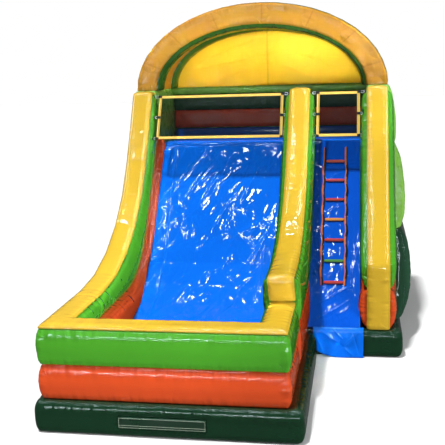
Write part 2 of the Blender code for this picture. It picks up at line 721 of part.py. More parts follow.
def arch_point(step, out, y):
    """Point of an arch at one of its steps, a distance out from its inner line."""
    angle = math.pi * step / ARCH_STEPS
    x = (ARCH_INNER_A + out) * math.cos(angle)
    z = SPRING_HEIGHT + GAP + (ARCH_INNER_B + out) * math.sin(angle)
    return (x, y, z)


def arch(name, section, start_y, finish):
    """A body swept along the arch; the section holds distances out and back."""
    rings = []
    for step in range(ARCH_STEPS + 1):
        rings.append([arch_point(step, out, start_y + back) for out, back in section])
    loft(name, rings, finish)


def tube_section(width, depth, bulge):
    """Outline of an arch tube with a flat front and back and a swollen inner side."""
    return [
        (0.0, 0.0),
        (width - 0.02, 0.0),
        (width, 0.10 * depth),
        (width + 0.004, 0.5 * depth),
        (width, 0.90 * depth),
        (width - 0.02, depth),
        (0.0, depth),
        (-0.65 * bulge, 0.86 * depth),
        (-bulge, 0.5 * depth),
        (-0.65 * bulge, 0.14 * depth),
    ]


def build_arches():
    width = ARCH_FACE_WIDTH
    face = [(0.0, ARCH_FACE_THICKNESS), (0.004, 0.012), (0.03, 0.0), (width - 0.03, 0.0)]
    face += [(width - 0.004, 0.012), (width, ARCH_FACE_THICKNESS)]
    arch("front_arch_face", face, ARCH_FRONT, "yellow")
    tube_y = ARCH_FRONT + ARCH_FACE_THICKNESS + GAP
    arch("front_arch_tube", tube_section(width, ARCH_TUBE_DEPTH, ARCH_INNER_SWELL), tube_y, "green")
    rear_depth = REAR_FACE - ROOM_BACK
    arch("rear_arch_tube", tube_section(width, rear_depth, ARCH_INNER_SWELL), ROOM_BACK, "lime")
    roof_start = tube_y + ARCH_TUBE_DEPTH + GAP
    roof_end = ROOM_BACK - roof_start - GAP
    low, high = CANOPY_INSET, CANOPY_INSET + CANOPY_THICKNESS
    arch("canopy_roof", [(low, 0), (high, 0), (high, roof_end), (low, roof_end)], roof_start, "yellow")
    inset = -ARCH_INNER_SWELL - 2 * GAP
    outlines = []
    for y in (ROOM_BACK + rear_depth / 2, ROOM_BACK + rear_depth / 2 + PANEL_THICKNESS):
        outlines.append([arch_point(step, inset, y) for step in range(ARCH_STEPS + 1)])
    loft("back_panel", outlines, "yellow")


def lattice(name, columns, rows, present, thickness, finish):
    """A flat piece made of cells on the net's slanted plane.

    The columns are places along X, or functions of the distance up the plane; the rows are such distances.
    """
    foot, top = Vector(NET_FOOT), Vector(NET_TOP)
    along = (top - foot).normalized()
    square = Vector((-along.y, along.x))
    cells = {(i, j) for i in range(len(columns) - 1) for j in range(len(rows) - 1) if present(i, j)}
    bm = bmesh.new()
    made = {}

    def corner(front, i, j):
        if (front, i, j) not in made:
            x = columns[i](rows[j]) if callable(columns[i]) else columns[i]
            y, z = foot + along * rows[j] + square * thickness * (0.5 if front else -0.5)
            made[front, i, j] = bm.verts.new((x, y, z))
        return made[front, i, j]

    for i, j in sorted(cells):
        ring = ((i, j), (i + 1, j), (i + 1, j + 1), (i, j + 1))
        bm.faces.new([corner(True, *here) for here in ring])
        bm.faces.new([corner(False, *here) for here in reversed(ring)])
        beside = ((i, j - 1), (i + 1, j), (i, j + 1), (i - 1, j))
        for k in range(4):
            if beside[k] not in cells:
                a, b = ring[k], ring[(k + 1) % 4]
                bm.faces.new((corner(True, *b), corner(True, *a), corner(False, *a), corner(False, *b)))
    place(name, bm, finish)


def strand_edges(start, end):
    """Both edges of every strand between two outer edges."""
    count = max(round((end - start - STRAND) / NET_PITCH), 1)
    edges = []
    for i in range(count + 1):
        middle = start + STRAND / 2 + (end - start - STRAND) * i / count
        edges += [middle - STRAND / 2, middle + STRAND / 2]
    return edges


def wall_side(x, direction, top, bulge):
    """Function that gives the x of a wall's upper chamber beside the net at a distance up its plane."""
    seam = seam_line(DIVIDER_END_Y)
    foot = Vector(NET_FOOT)
    along = (Vector(NET_TOP) - foot).normalized()

    def side_x(distance):
        y, z = foot + along * distance
        low, high = height_on(seam, y), height_on(top, y) - CAP_THICKNESS
        share = min(max((z - low) / (high - low), 0.0), 1.0)
        return x + direction * (SEAM_HALF + bulge * swell(share) + STRAP_CLEARANCE)

    return side_x


def build_net(name, left_side, right_side, left, right):
    """A net, and the webbing border round it with three straps to the wall at each side."""
    height = (Vector(NET_TOP) - Vector(NET_FOOT)).length
    inner_left, inner_right = left + WEBBING_WIDTH, right - WEBBING_WIDTH
    low, high = WEBBING_WIDTH, height - WEBBING_WIDTH
    columns = strand_edges(inner_left + GAP, inner_right - GAP)
    rows = strand_edges(low + GAP, high - GAP)
    lattice(name, columns, rows, lambda i, j: i % 2 == 0 or j % 2 == 0, STRAND * 0.8, "mesh")
    half = STRAP_WIDTH / 2
    middle = height / 2
    border_rows = [0, STRAP_WIDTH, low, middle - half, middle + half, high, height - STRAP_WIDTH, height]
    border_columns = [left_side, left, inner_left, inner_right, right, right_side]

    def present(i, j):
        if i in (0, 4):
            return j in (0, 3, 6)
        return i in (1, 3) or j in (0, 1, 5, 6)

    lattice(name + "_border", border_columns, border_rows, present, WEBBING_THICKNESS, "webbing")


def build_nets():
    right_top = [(PLATFORM_FRONT, WALL_TOP), (SLOPE_TOP_Y, WALL_TOP), (RIGHT_NOSE_Y, RIGHT_NOSE_HEIGHT)]
    build_net(
        "net_left",
        wall_side(LEFT_X, 1, left_top(), UPPER_SWELL),
        wall_side(DIVIDER_X, -1, divider_top(), UPPER_SWELL),
        LEFT_X + HALF_BAND + NET_SIDE_GAP,
        DIVIDER_X - HALF_BAND - NET_SIDE_GAP,
    )
    build_net(
        "net_right",
        wall_side(DIVIDER_X, 1, divider_top(), CLIMB_LEFT_SWELL),
        wall_side(RIGHT_X, -1, right_top, UPPER_SWELL),
        DIVIDER_X + HALF_BAND + NET_SIDE_GAP,
        RIGHT_X - HALF_BAND - NET_SIDE_GAP,
    )


def build_ladder():
    """Two webbing rails on the climbing lane, and padded rungs between them."""
    last = FIRST_RUNG + RUNG_PITCH * (RUNG_COUNT - 1)
    start, end = FIRST_RUNG - 0.05, last + 0.30
    steps = 4 * RUNG_COUNT + 2
    for name, side in (("ladder_rail_left", -1), ("ladder_rail_right", 1)):
        rings = []
        for i in range(steps + 1):
            distance = start + (end - start) * i / steps
            phase = (distance - FIRST_RUNG) / RUNG_PITCH
            wave = RAIL_WAVE * math.sin(math.pi * phase) ** 2 if 0 < phase < RUNG_COUNT - 1 else 0.0
            x = LADDER_X + side * (LADDER_WIDTH / 2 + wave)
            left, right = x - RAIL_WIDTH / 2, x + RAIL_WIDTH / 2
            low = climb_point(distance, RAIL_LIFT)
            high = climb_point(distance, RAIL_LIFT + RAIL_THICKNESS)
            rings.append([(left, *low), (right, *low), (right, *high), (left, *high)])
        loft(name, rings, "coral")
    half = LADDER_WIDTH / 2 - RAIL_WIDTH / 2 - GAP
    for number in range(RUNG_COUNT):
        distance = last - RUNG_PITCH * number
        rings = []
        for x, size in ((-half, 0.55), (-half + 0.025, 1.0), (half - 0.025, 1.0), (half, 0.55)):
            ring = []
            for k in range(10):
                angle = 2 * math.pi * k / 10
                along = RUNG_WIDTH / 2 * size * math.cos(angle)
                lift = RAIL_LIFT + RUNG_THICKNESS / 2 * (1 + size * math.sin(angle))
                ring.append((LADDER_X + x, *climb_point(distance + along, lift)))
            rings.append(ring)
        loft("ladder_rung_%d" % (number + 1), rings, RUNG_FINISHES[number % len(RUNG_FINISHES)])


def build_flap():
    """Flap over the deflation zip, hung from the hem along its top edge."""
    axis = (FLAP_X, BASE_FRONT - GAP - HEM_RADIUS, FLAP_TOP_Z - HEM_RADIUS)
    radius, slant = HEM_RADIUS, HEM_RADIUS * 0.7
    foot = HEM_RADIUS - FLAP_HEIGHT
    outline = [(-radius, 0.0), (-slant, slant), (0.0, radius), (slant, slant), (radius, 0.0), (slant, -slant)]
    outline += [(FLAP_THICKNESS - radius, -radius), (FLAP_THICKNESS - radius, foot), (-radius, foot)]
    rings = []
    for x in (-FLAP_WIDTH / 2, 0, FLAP_WIDTH / 2):
        rings.append([(axis[0] + x, axis[1] + y, axis[2] + z) for y, z in outline])
    loft("zip_flap", rings, "base", origin=axis)


def build_zip():
    """Track and slider of the deflation zip, behind the flap."""
    track_z = FLAP_TOP_Z - FLAP_HEIGHT / 2 - 0.01
    half = ZIP_TAPE_HEIGHT / 2
    back = BASE_FRONT - GAP
    front = back - ZIP_TAPE_THICKNESS
    outline = [(back, -half), (back, half), (front, half * 0.9), (front, -half * 0.9)]
    rings = []
    for x in (-ZIP_WIDTH / 2, ZIP_WIDTH / 2):
        rings.append([(FLAP_X + x, y, track_z + z) for y, z in outline])
    loft("zip_track", rings, "black")
    slider_x = FLAP_X + ZIP_WIDTH / 2 - SLIDER_LENGTH
    rings = []
    for depth, size in ((0.0, 0.9), (0.3, 1.0), (0.8, 0.9), (1.0, 0.6)):
        y = front - GAP - SLIDER_THICKNESS * depth
        length, height = SLIDER_LENGTH / 2 * size, SLIDER_HEIGHT / 2 * size
        shape = ((-length, -height * 0.5), (-length * 0.5, -height), (length, -height * 0.8))
        shape += ((length, height * 0.8), (-length * 0.5, height), (-length, height * 0.5))
        rings.append([(slider_x + x, y, track_z + z) for x, z in shape])
    loft("zip_slider", rings, "steel", origin=(slider_x, front - GAP, track_z))


def build_sleeve():
    """Open inflation sleeve that lies on the floor behind the tower."""
    start = BASE_BACK + GAP
    rings = []
    for k in range(20):
        angle = 2 * math.pi * k / 20
        ring = []
        for inset, y in ((0, 0), (0, SLEEVE_LENGTH), (SLEEVE_WALL, SLEEVE_LENGTH), (SLEEVE_WALL, 0)):
            x = SLEEVE_X + (SLEEVE_WIDTH / 2 - inset) * math.cos(angle)
            z = SLEEVE_HEIGHT / 2 + (SLEEVE_HEIGHT / 2 - inset) * math.sin(angle)
            ring.append((x, start + y, z))
        rings.append(ring)
    loft("inflation_sleeve", rings, "dark", closed=True)


def build_anchors():
    """Webbing tabs at the rear corners, each with a loop that holds a free steel ring."""
    loop = RING_WIRE + LOOP_CLEARANCE + TAB_THICKNESS / 2
    axis_y = BASE_BACK + GAP + loop + TAB_THICKNESS / 2
    axis_z = ANCHOR_TOP_Z - TAB_LENGTH
    path = [(-loop, TAB_LENGTH), (-loop, TAB_LENGTH / 2)]
    for k in range(12):
        angle = math.radians(180 + 280 * k / 11)
        path.append((loop * math.cos(angle), loop * math.sin(angle)))
    outer = offset_line(path, TAB_THICKNESS / 2)
    inner = offset_line(path, -TAB_THICKNESS / 2)
    for side_name, side in (("left", -1), ("right", 1)):
        x = side * ANCHOR_X
        left, right = x - TAB_WIDTH / 2, x + TAB_WIDTH / 2
        rings = []
        for (out_y, out_z), (in_y, in_z) in zip(outer, inner):
            ring = [(left, axis_y + out_y, axis_z + out_z), (right, axis_y + out_y, axis_z + out_z)]
            rings.append(ring + [(right, axis_y + in_y, axis_z + in_z), (left, axis_y + in_y, axis_z + in_z)])
        loft("anchor_tab_" + side_name, rings, "webbing")
        build_ring("anchor_ring_" + side_name, (x, axis_y, axis_z))


def build_ring(name, axis):
    """A D ring: a straight bar on the axis and a bow below it."""
    half = RING_WIDTH / 2 - RING_WIRE
    fall = RING_HEIGHT - 2 * RING_WIRE
    path = [(-half, 0.0), (half, 0.0)]
    for k in range(11):
        angle = math.pi * k / 10
        path.append((half * math.cos(angle), -fall * 0.35 - fall * 0.65 * math.sin(angle)))
    rings = []
    count = len(path)
    for i in range(count):
        here = Vector(path[i])
        first = (here - Vector(path[i - 1])).normalized()
        second = (Vector(path[(i + 1) % count]) - here).normalized()
        along = (first + second).normalized()
        square = Vector((-along.y, along.x)) / first.dot(along)
        ring = []
        for k in range(8):
            angle = 2 * math.pi * k / 8
            x, z = here + square * RING_WIRE * math.cos(angle)
            ring.append((axis[0] + x, axis[1] + RING_WIRE * math.sin(angle), axis[2] + z))
        rings.append(ring)
    loft(name, rings, "steel", origin=axis, closed=True)


build_bases()
build_pool_wall()
build_left_wall()
build_divider()
build_right_wall()
build_slide_lane()
build_turned_up_edge()
build_climb_lane()
build_step_cover()
build_platform()
build_room()
build_tower_courses()
build_arches()
build_nets()
build_ladder()
build_flap()
build_zip()
build_sleeve()
build_anchors()
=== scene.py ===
"""Looks of the inflatable slide: coated fabric chambers, loose liners, nets, webbing, floor, light and camera."""

import math

import bmesh
import bpy
import numpy as np
from mathutils import Matrix, Vector, noise
from mathutils.bvhtree import BVHTree
from mathutils.kdtree import KDTree


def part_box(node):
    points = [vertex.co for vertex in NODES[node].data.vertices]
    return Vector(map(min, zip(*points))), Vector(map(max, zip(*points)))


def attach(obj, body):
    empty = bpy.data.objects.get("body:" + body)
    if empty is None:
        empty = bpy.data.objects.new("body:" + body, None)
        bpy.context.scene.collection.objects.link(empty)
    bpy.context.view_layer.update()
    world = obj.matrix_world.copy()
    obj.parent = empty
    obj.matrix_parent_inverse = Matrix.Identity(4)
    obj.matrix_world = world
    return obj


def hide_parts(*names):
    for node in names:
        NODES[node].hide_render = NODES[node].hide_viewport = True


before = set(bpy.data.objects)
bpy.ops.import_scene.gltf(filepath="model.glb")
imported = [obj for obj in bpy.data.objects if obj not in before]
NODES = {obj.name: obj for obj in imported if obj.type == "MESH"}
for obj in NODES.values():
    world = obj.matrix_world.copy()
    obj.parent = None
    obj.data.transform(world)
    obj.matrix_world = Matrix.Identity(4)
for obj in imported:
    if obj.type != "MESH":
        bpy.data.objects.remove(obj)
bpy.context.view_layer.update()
SHEET_THICK = 0.002
# A seam's grime, its painted shade and its gathers end nearer to it than this
FAR_FROM_SEAM = 0.2


# ---------- hand tools

def deselect():
    for chosen in list(bpy.context.selected_objects):
        chosen.select_set(False)


def hold(piece):
    """Makes one piece the only selected and active one."""
    deselect()
    piece.select_set(True)
    bpy.context.view_layer.objects.active = piece


def edit(piece, step):
    """Runs one step on all of a piece in edit mode."""
    hold(piece)
    bpy.ops.object.mode_set(mode="EDIT")
    bpy.ops.mesh.select_all(action="SELECT")
    step()
    bpy.ops.object.mode_set(mode="OBJECT")


def squared(piece):
    """Joins the triangles of a CAD copy into four-sided faces."""
    edit(piece, lambda: bpy.ops.mesh.tris_convert_to_quads(face_threshold=0.9, shape_threshold=1.2))


def divided(piece, cuts):
    edit(piece, lambda: bpy.ops.mesh.subdivide(number_cuts=cuts))


def relaxed(piece, times):
    edit(piece, lambda: bpy.ops.mesh.vertices_smooth(factor=0.5, repeat=times))


def remeshed(piece, voxel):
    """Gives a piece one even skin of small faces."""
    piece.data.remesh_voxel_size = voxel
    piece.data.use_remesh_fix_poles = False
    hold(piece)
    bpy.ops.object.voxel_remesh()


def finish_with(piece, kind, **settings):
    """Adds a modifier with its settings and applies it."""
    hold(piece)
    modifier = piece.modifiers.new(kind.title(), kind)
    for name, value in settings.items():
        setattr(modifier, name, value)
    bpy.ops.object.modifier_apply(modifier=modifier.name)


def places_of(mesh):
    places = np.empty(len(mesh.vertices) * 3)
    mesh.vertices.foreach_get("co", places)
    return places.reshape(-1, 3)


def normals_of(mesh):
    normals = np.empty(len(mesh.vertices) * 3)
    mesh.vertex_normals.foreach_get("vector", normals)
    return normals.reshape(-1, 3)


def put_places(mesh, places):
    mesh.vertices.foreach_set("co", places.astype(np.float32).ravel())
    mesh.update()


def smooth_shaded(piece):
    hold(piece)
    bpy.ops.object.shade_smooth()


def settle(piece):
    """Moves a piece's place into its mesh."""
    hold(piece)
    bpy.ops.object.transform_apply(location=True, rotation=True, scale=True)


def linked(name, data):
    """A new object in the scene."""
    made = bpy.data.objects.new(name, data)
    bpy.context.scene.collection.objects.link(made)
    return made


def copy_of(node, name):
    """A copy of a CAD node with its loose triangles joined."""
    made = linked(name, NODES[node].data.copy())
    made.data.materials.clear()
    edit(made, lambda: bpy.ops.mesh.remove_doubles(threshold=0.0002))
    hold(made)
    bpy.ops.mesh.customdata_custom_splitnormals_clear()
    return made


# ---------- materials

def linear(colour):
    """A linear colour from its sRGB hex value."""
    parts = [int(colour[i:i + 2], 16) / 255 for i in (1, 3, 5)]
    return tuple(c / 12.92 if c <= 0.04045 else ((c + 0.055) / 1.055) ** 2.4 for c in parts) + (1.0,)


def add(tree, kind, links=None, **settings):
    """Adds a node with its settings; links hold its inputs' values or the sockets that feed them."""
    made = tree.nodes.new(kind)
    for name, value in settings.items():
        setattr(made, name, value)
    for name, value in (links or {}).items():
        if isinstance(value, bpy.types.NodeSocket):
            tree.links.new(value, made.inputs[name])
        else:
            made.inputs[name].default_value = value
    return made


def new_material(name, **sockets):
    """A Principled material whose own sockets are set; returns it with its tree and shader."""
    made = bpy.data.materials.new(name)
    made.use_nodes = True
    shader = made.node_tree.nodes["Principled BSDF"]
    for socket, value in sockets.items():
        shader.inputs[socket.replace("_", " ")].default_value = value
    return made, made.node_tree, shader


def coated_vinyl(name, colour, deep, gloss=0.050, pucker=0.0320, ripple=0.0014, creased=0.0, shine=1.0):
    """PVC-coated polyester, 0.6 mm thick: a smooth glossy skin that shows every pucker as a bright streak.

    It is a little deeper in broad patches, dirty and darkened with painted shade in its seams, and gathered by the
    thread along them.
    """
    made, tree, shader = new_material(name, IOR=1.42, Coat_Weight=0.15 * shine, Coat_Roughness=0.02, Coat_IOR=1.5,
                                      Specular_IOR_Level=0.5 * shine)
    place = add(tree, "ShaderNodeTexCoord").outputs["Object"]
    seam = add(tree, "ShaderNodeAttribute", attribute_name="seam_distance").outputs["Fac"]
    seam_point = add(tree, "ShaderNodeAttribute", attribute_name="seam_point").outputs["Vector"]
    patches = add(tree, "ShaderNodeTexNoise", {"Vector": place, "Scale": 1.3, "Detail": 3.0, "Roughness": 0.6})
    body = add(tree, "ShaderNodeMix", {0: patches.outputs["Fac"], 6: linear(colour), 7: linear(deep)}, data_type="RGBA")
    # Grime and painted shade of the seam's groove, up to 18 mm from a seam
    dirt_and_groove_shade = add(tree, "ShaderNodeMapRange", {"Value": seam, "From Max": 0.018, "To Min": 0.35, "To Max": 0.0})
    soiled_and_shaded = tuple(part * 0.35 for part in linear(deep)[:3]) + (1.0,)
    body = add(tree, "ShaderNodeMix", {0: dirt_and_groove_shade.outputs["Result"], 6: body.outputs[2], 7: soiled_and_shaded}, data_type="RGBA")
    tree.links.new(body.outputs[2], shader.inputs["Base Color"])
    smears = add(tree, "ShaderNodeTexNoise", {"Vector": place, "Scale": 5.0, "Detail": 4.0})
    rough = add(tree, "ShaderNodeMapRange", {"Value": smears.outputs["Fac"], "From Min": 0.3, "From Max": 0.7,
                                             "To Min": gloss * 0.8, "To Max": gloss * 1.5})
    tree.links.new(rough.outputs["Result"], shader.inputs["Roughness"])
    # Gathers 50 to 90 mm apart that run away from the seam for about a hand's width
    gathers = add(tree, "ShaderNodeTexNoise", {"Vector": seam_point, "Scale": 11.0, "Detail": 1.0, "Roughness": 0.5})
    fade = add(tree, "ShaderNodeMapRange", {"Value": seam, "From Max": 0.17, "To Min": 1.0, "To Max": 0.0},
               interpolation_type="SMOOTHERSTEP")
    gathered = add(tree, "ShaderNodeMath", {0: gathers.outputs["Fac"], 1: fade.outputs["Result"]}, operation="MULTIPLY")
    gathered = add(tree, "ShaderNodeMath", {0: gathered.outputs[0], 1: pucker}, operation="MULTIPLY")
    # Slack of the skin, about 0.15 m from wave to wave
    slack = add(tree, "ShaderNodeTexNoise", {"Vector": place, "Scale": 6.5, "Detail": 2.0, "Distortion": 0.6})
    slack = add(tree, "ShaderNodeMath", {0: slack.outputs["Fac"], 1: ripple}, operation="MULTIPLY")
    height = add(tree, "ShaderNodeMath", {0: gathered.outputs[0], 1: slack.outputs[0]}, operation="ADD")
    # The fabric's threads, 1 mm apart, drawn 8 mm apart so that they show as a faint grain
    grain = add(tree, "ShaderNodeTexNoise", {"Vector": place, "Scale": 120.0, "Detail": 1.0})
    grain = add(tree, "ShaderNodeMath", {0: grain.outputs["Fac"], 1: 0.00012}, operation="MULTIPLY")
    height = add(tree, "ShaderNodeMath", {0: height.outputs[0], 1: grain.outputs[0]}, operation="ADD")
    if creased:
        height = loose_creases(tree, height, creased)
    relief = add(tree, "ShaderNodeBump", {"Height": height.outputs[0], "Distance": 1.0, "Strength": 1.0})
    tree.links.new(relief.outputs["Normal"], shader.inputs["Normal"])
    return made


def loose_creases(tree, height, depth):
    """Adds the sharp creases of a loose sheet: two nets of facets drawn out along the sheet's slack."""
    flat = add(tree, "ShaderNodeAttribute", attribute_name="sheet_place").outputs["Vector"]
    warp = add(tree, "ShaderNodeTexNoise", {"Vector": flat, "Scale": 1.6, "Detail": 2.0})
    bent = add(tree, "ShaderNodeVectorMath", {0: warp.outputs["Color"], 1: (0.55, 0.55, 0.0)}, operation="MULTIPLY")
    bent = add(tree, "ShaderNodeVectorMath", {0: flat, 1: bent.outputs[0]}, operation="ADD")
    for turn, stretch, share in ((-0.62, (5.5, 1.5, 1.0), 1.0), (0.45, (4.0, 2.6, 1.0), 0.45)):
        place = add(tree, "ShaderNodeMapping", {"Vector": bent.outputs[0], "Rotation": (0.0, 0.0, turn),
                                                "Scale": stretch})
        facets = add(tree, "ShaderNodeTexVoronoi", {"Vector": place.outputs[0], "Scale": 1.0},
                     feature="DISTANCE_TO_EDGE", voronoi_dimensions="2D")
        crest = add(tree, "ShaderNodeMapRange", {"Value": facets.outputs["Distance"], "From Max": 0.35,
                                                 "To Min": depth * share, "To Max": 0.0})
        height = add(tree, "ShaderNodeMath", {0: height.outputs[0], 1: crest.outputs[0]}, operation="ADD")
    return height


def woven_webbing(name, colour, deep, pitch=0.024, fuzz=0.25, shine=0.5):
    """Polyester webbing: a matt weave with a soft sheen.

    Its slanted ribs, 2 mm apart, are too fine to show, so they are drawn 14 mm apart, 24 mm along a strap.
    """
    made, tree, shader = new_material(name, Roughness=0.62, IOR=1.5, Sheen_Weight=fuzz, Sheen_Roughness=0.5,
                                      Specular_IOR_Level=shine)
    place = add(tree, "ShaderNodeTexCoord").outputs["Object"]
    wear = add(tree, "ShaderNodeTexNoise", {"Vector": place, "Scale": 14.0, "Detail": 3.0})
    tint = add(tree, "ShaderNodeMix", {0: wear.outputs["Fac"], 6: linear(colour), 7: linear(deep)}, data_type="RGBA")
    tree.links.new(tint.outputs[2], shader.inputs["Base Color"])
    ribs = add(tree, "ShaderNodeTexWave", {"Vector": place, "Scale": math.pi / (pitch * 5), "Distortion": 1.0,
                                           "Detail": 1.0}, bands_direction="DIAGONAL")
    height = add(tree, "ShaderNodeMath", {0: ribs.outputs["Fac"], 1: 0.0006}, operation="MULTIPLY")
    relief = add(tree, "ShaderNodeBump", {"Height": height.outputs[0], "Distance": 1.0, "Strength": 0.8})
    tree.links.new(relief.outputs["Normal"], shader.inputs["Normal"])
    return made


def drawn_steel(name):
    """Zinc-plated steel wire: bright metal with slightly cloudy plating."""
    made, tree, shader = new_material(name, Metallic=0.75)
    place = add(tree, "ShaderNodeTexCoord").outputs["Object"]
    clouds = add(tree, "ShaderNodeTexNoise", {"Vector": place, "Scale": 60.0, "Detail": 3.0})
    tint = add(tree, "ShaderNodeMix", {0: clouds.outputs["Fac"], 6: linear("#dcdddf"), 7: linear("#b4b7bb")},
               data_type="RGBA")
    tree.links.new(tint.outputs[2], shader.inputs["Base Color"])
    rough = add(tree, "ShaderNodeMapRange", {"Value": clouds.outputs["Fac"], "To Min": 0.22, "To Max": 0.42})
    tree.links.new(rough.outputs["Result"], shader.inputs["Roughness"])
    return made


def moulded_nylon(name):
    """Moulded nylon zip chain on its woven tape: dull black, its teeth 5 mm apart."""
    made, tree, shader = new_material(name, Roughness=0.55, IOR=1.53)
    place = add(tree, "ShaderNodeTexCoord").outputs["Object"]
    teeth = add(tree, "ShaderNodeTexWave", {"Vector": place, "Scale": math.pi / (0.005 * 10), "Distortion": 0.0},
                bands_direction="X")
    tint = add(tree, "ShaderNodeMix", {0: teeth.outputs["Fac"], 6: linear("#0b0b0c"), 7: linear("#232426")},
               data_type="RGBA")
    tree.links.new(tint.outputs[2], shader.inputs["Base Color"])
    height = add(tree, "ShaderNodeMath", {0: teeth.outputs["Fac"], 1: 0.001}, operation="MULTIPLY")
    relief = add(tree, "ShaderNodeBump", {"Height": height.outputs[0], "Distance": 1.0})
    tree.links.new(relief.outputs["Normal"], shader.inputs["Normal"])
    return made


# A loose sheet has sharp creases in place of gathers
LOOSE = {"gloss": 0.035, "pucker": 0.0, "ripple": 0.0018, "creased": 0.0036}
VINYL = {
    "base": coated_vinyl("Dark green coated vinyl", "#0f2d1b", "#0d2818", gloss=0.055, pucker=0.0300, ripple=0.0016),
    "dark": coated_vinyl("Forest green coated vinyl", "#1c3b29", "#193626", gloss=0.055, pucker=0.0260, ripple=0.0020),
    "orange": coated_vinyl("Orange coated vinyl", "#b5411c", "#ab3d1a"),
    "green": coated_vinyl("Green coated vinyl", "#3d8520", "#397c1e"),
    "lime": coated_vinyl("Lime coated vinyl", "#74aa43", "#6da03f", gloss=0.26, shine=0.6),
    # A darker copy of the green vinyl for the front arch tube: painted shade
    "olive": coated_vinyl("Olive coated vinyl", "#2b5614", "#274e12"),
    # A darker copy of the lime vinyl for the rear arch tube: painted shade
    "moss": coated_vinyl("Moss green coated vinyl", "#4a7620", "#446d1d"),
    "yellow": coated_vinyl("Yellow coated vinyl", "#b29228", "#aa8b25", pucker=0.0180),
    # A darker, more orange copy of the yellow vinyl for the arch face: painted shade
    "gold": coated_vinyl("Golden coated vinyl", "#a0731a", "#996e18", gloss=0.08, shine=0.40),
    # A brighter copy of the yellow vinyl for the back panel: painted light, shining through its single layer
    "backlit_panel_yellow": coated_vinyl("Single layer yellow vinyl", "#f4bf24", "#ebb522", gloss=0.50, shine=0.2),
    # A brighter, more orange copy of the yellow vinyl for the canopy roof: painted light, shining through the sheet
    "painted_roof_glow": coated_vinyl("Roof yellow vinyl", "#e09a28", "#d58f24", gloss=0.45, shine=0.25),
    "room_red": coated_vinyl("Shaded orange coated vinyl", "#dc4a20", "#d0461e", gloss=0.22, shine=0.35),
    "room_green": coated_vinyl("Shaded dark green vinyl", "#224e2a", "#1e4626", gloss=0.22, shine=0.35),
    "patch": coated_vinyl("Dark green patch vinyl", "#0f2d1b", "#0d2818", gloss=0.30, pucker=0.0),
    "blue": coated_vinyl("Blue coated vinyl", "#0266df", "#015fd0", gloss=0.10, pucker=0.0030, ripple=0.0016),
    "film": coated_vinyl("Loose blue coated vinyl", "#0260d2", "#015ac6", **LOOSE),
    # A deeper copy of the liners' blue for the climbing lane's cover: painted shade
    "shaded_climb_film": coated_vinyl("Deep blue coated vinyl", "#0248b5", "#0244aa", **LOOSE),
}
WEBBING = {
    "orange": woven_webbing("Golden polyester webbing", "#d2ac40", "#c09c34"),
    "red": woven_webbing("Red polyester webbing", "#a81c10", "#8c150c"),
    "rust": woven_webbing("Rust orange polyester webbing", "#b65a20", "#a04c1a", fuzz=0.1),
    "coral": woven_webbing("Coral polyester webbing", "#b5351a", "#962812"),
    "pink": woven_webbing("Pink polyester webbing", "#b02a38", "#96202d"),
    "amber": woven_webbing("Amber polyester webbing", "#c47a1e", "#b06815"),
    "leaf": woven_webbing("Leaf green polyester webbing", "#3c7a22", "#2e6618"),
    "black": woven_webbing("Black polyester webbing", "#060707", "#0b0c0d", fuzz=0.02, shine=0.2),
    "mesh": woven_webbing("Black knotted net cord", "#040605", "#070a08", pitch=0.012, fuzz=0.0, shine=0.08),
    "thread": woven_webbing("Pale bonded thread", "#a9b9a4", "#8fa08b", pitch=0.008),
}
STEEL = drawn_steel("Zinc-plated steel wire")
NYLON = moulded_nylon("Black nylon zip")


def dress(piece, node, finish, body="slide"):
    """Gives a piece its material and body, and hides the CAD node that it stands for if there is one."""
    piece.data.materials.clear()
    piece.data.materials.append(finish)
    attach(piece, body)
    if node:
        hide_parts(node)


# ---------- chambers

# Panels that meet at more than this angle, in radians, are sewn together
SEWN_ANGLE = 0.55
SEAM_STEP = 0.02
# A skin this near to another chamber stays where it is
TOUCH_GAP = 0.012
# Gathers along a seam, and the slow waves and the swell between seams
GATHER_PITCH = 0.095
LUMPS = 0.004
USUAL_SWELL = 0.012
# The arch's inner half width, rise and foot
ARCH_HALF = 1.85
ARCH_RISE = 1.09
ARCH_FOOT = 4.05


def sewn_edges(mesh):
    """Ends of the edges at which a chamber's panels are sewn together."""
    bm = bmesh.new()
    bm.from_mesh(mesh)
    ends = []
    for edge in bm.edges:
        if len(edge.link_faces) == 2 and edge.calc_face_angle(0.0) > SEWN_ANGLE:
            ends.append((edge.verts[0].co[:], edge.verts[1].co[:]))
    bm.free()
    return ends


def nearest_seam(places, ends):
    """The nearest point on a sewn edge for each place."""
    samples, owner = [], []
    for i, (a, b) in enumerate(ends):
        a, b = np.array(a), np.array(b)
        count = max(int(np.linalg.norm(b - a) / SEAM_STEP), 1)
        for k in range(count + 1):
            samples.append(a + (b - a) * k / count)
            owner.append(i)
    tree = KDTree(len(samples))
    for i, sample in enumerate(samples):
        tree.insert(sample, i)
    tree.balance()
    chosen = np.array([owner[tree.find(place)[1]] for place in places])
    starts = np.array([end[0] for end in ends])[chosen]
    spans = np.array([end[1] for end in ends])[chosen] - starts
    length = np.maximum((spans ** 2).sum(1), 1e-9)
    share = np.clip(((places - starts) * spans).sum(1) / length, 0.0, 1.0)
    return starts + spans * share[:, None]


def field(places, scale, seed):
    """Smooth noise from -1 to 1 at each place."""
    shift = Vector((seed * 3.7, seed * 1.3, seed * 2.1))
    return np.array([noise.noise(Vector(place) * scale + shift) for place in places])


def keep(mesh, name, values):
    """Keeps a number or place per point of a mesh, for its material."""
    kind, field_name = ("FLOAT", "value") if values.ndim == 1 else ("FLOAT_VECTOR", "vector")
    kept = mesh.attributes.get(name) or mesh.attributes.new(name, kind, "POINT")
    kept.data.foreach_set(field_name, values.astype(np.float32).ravel())


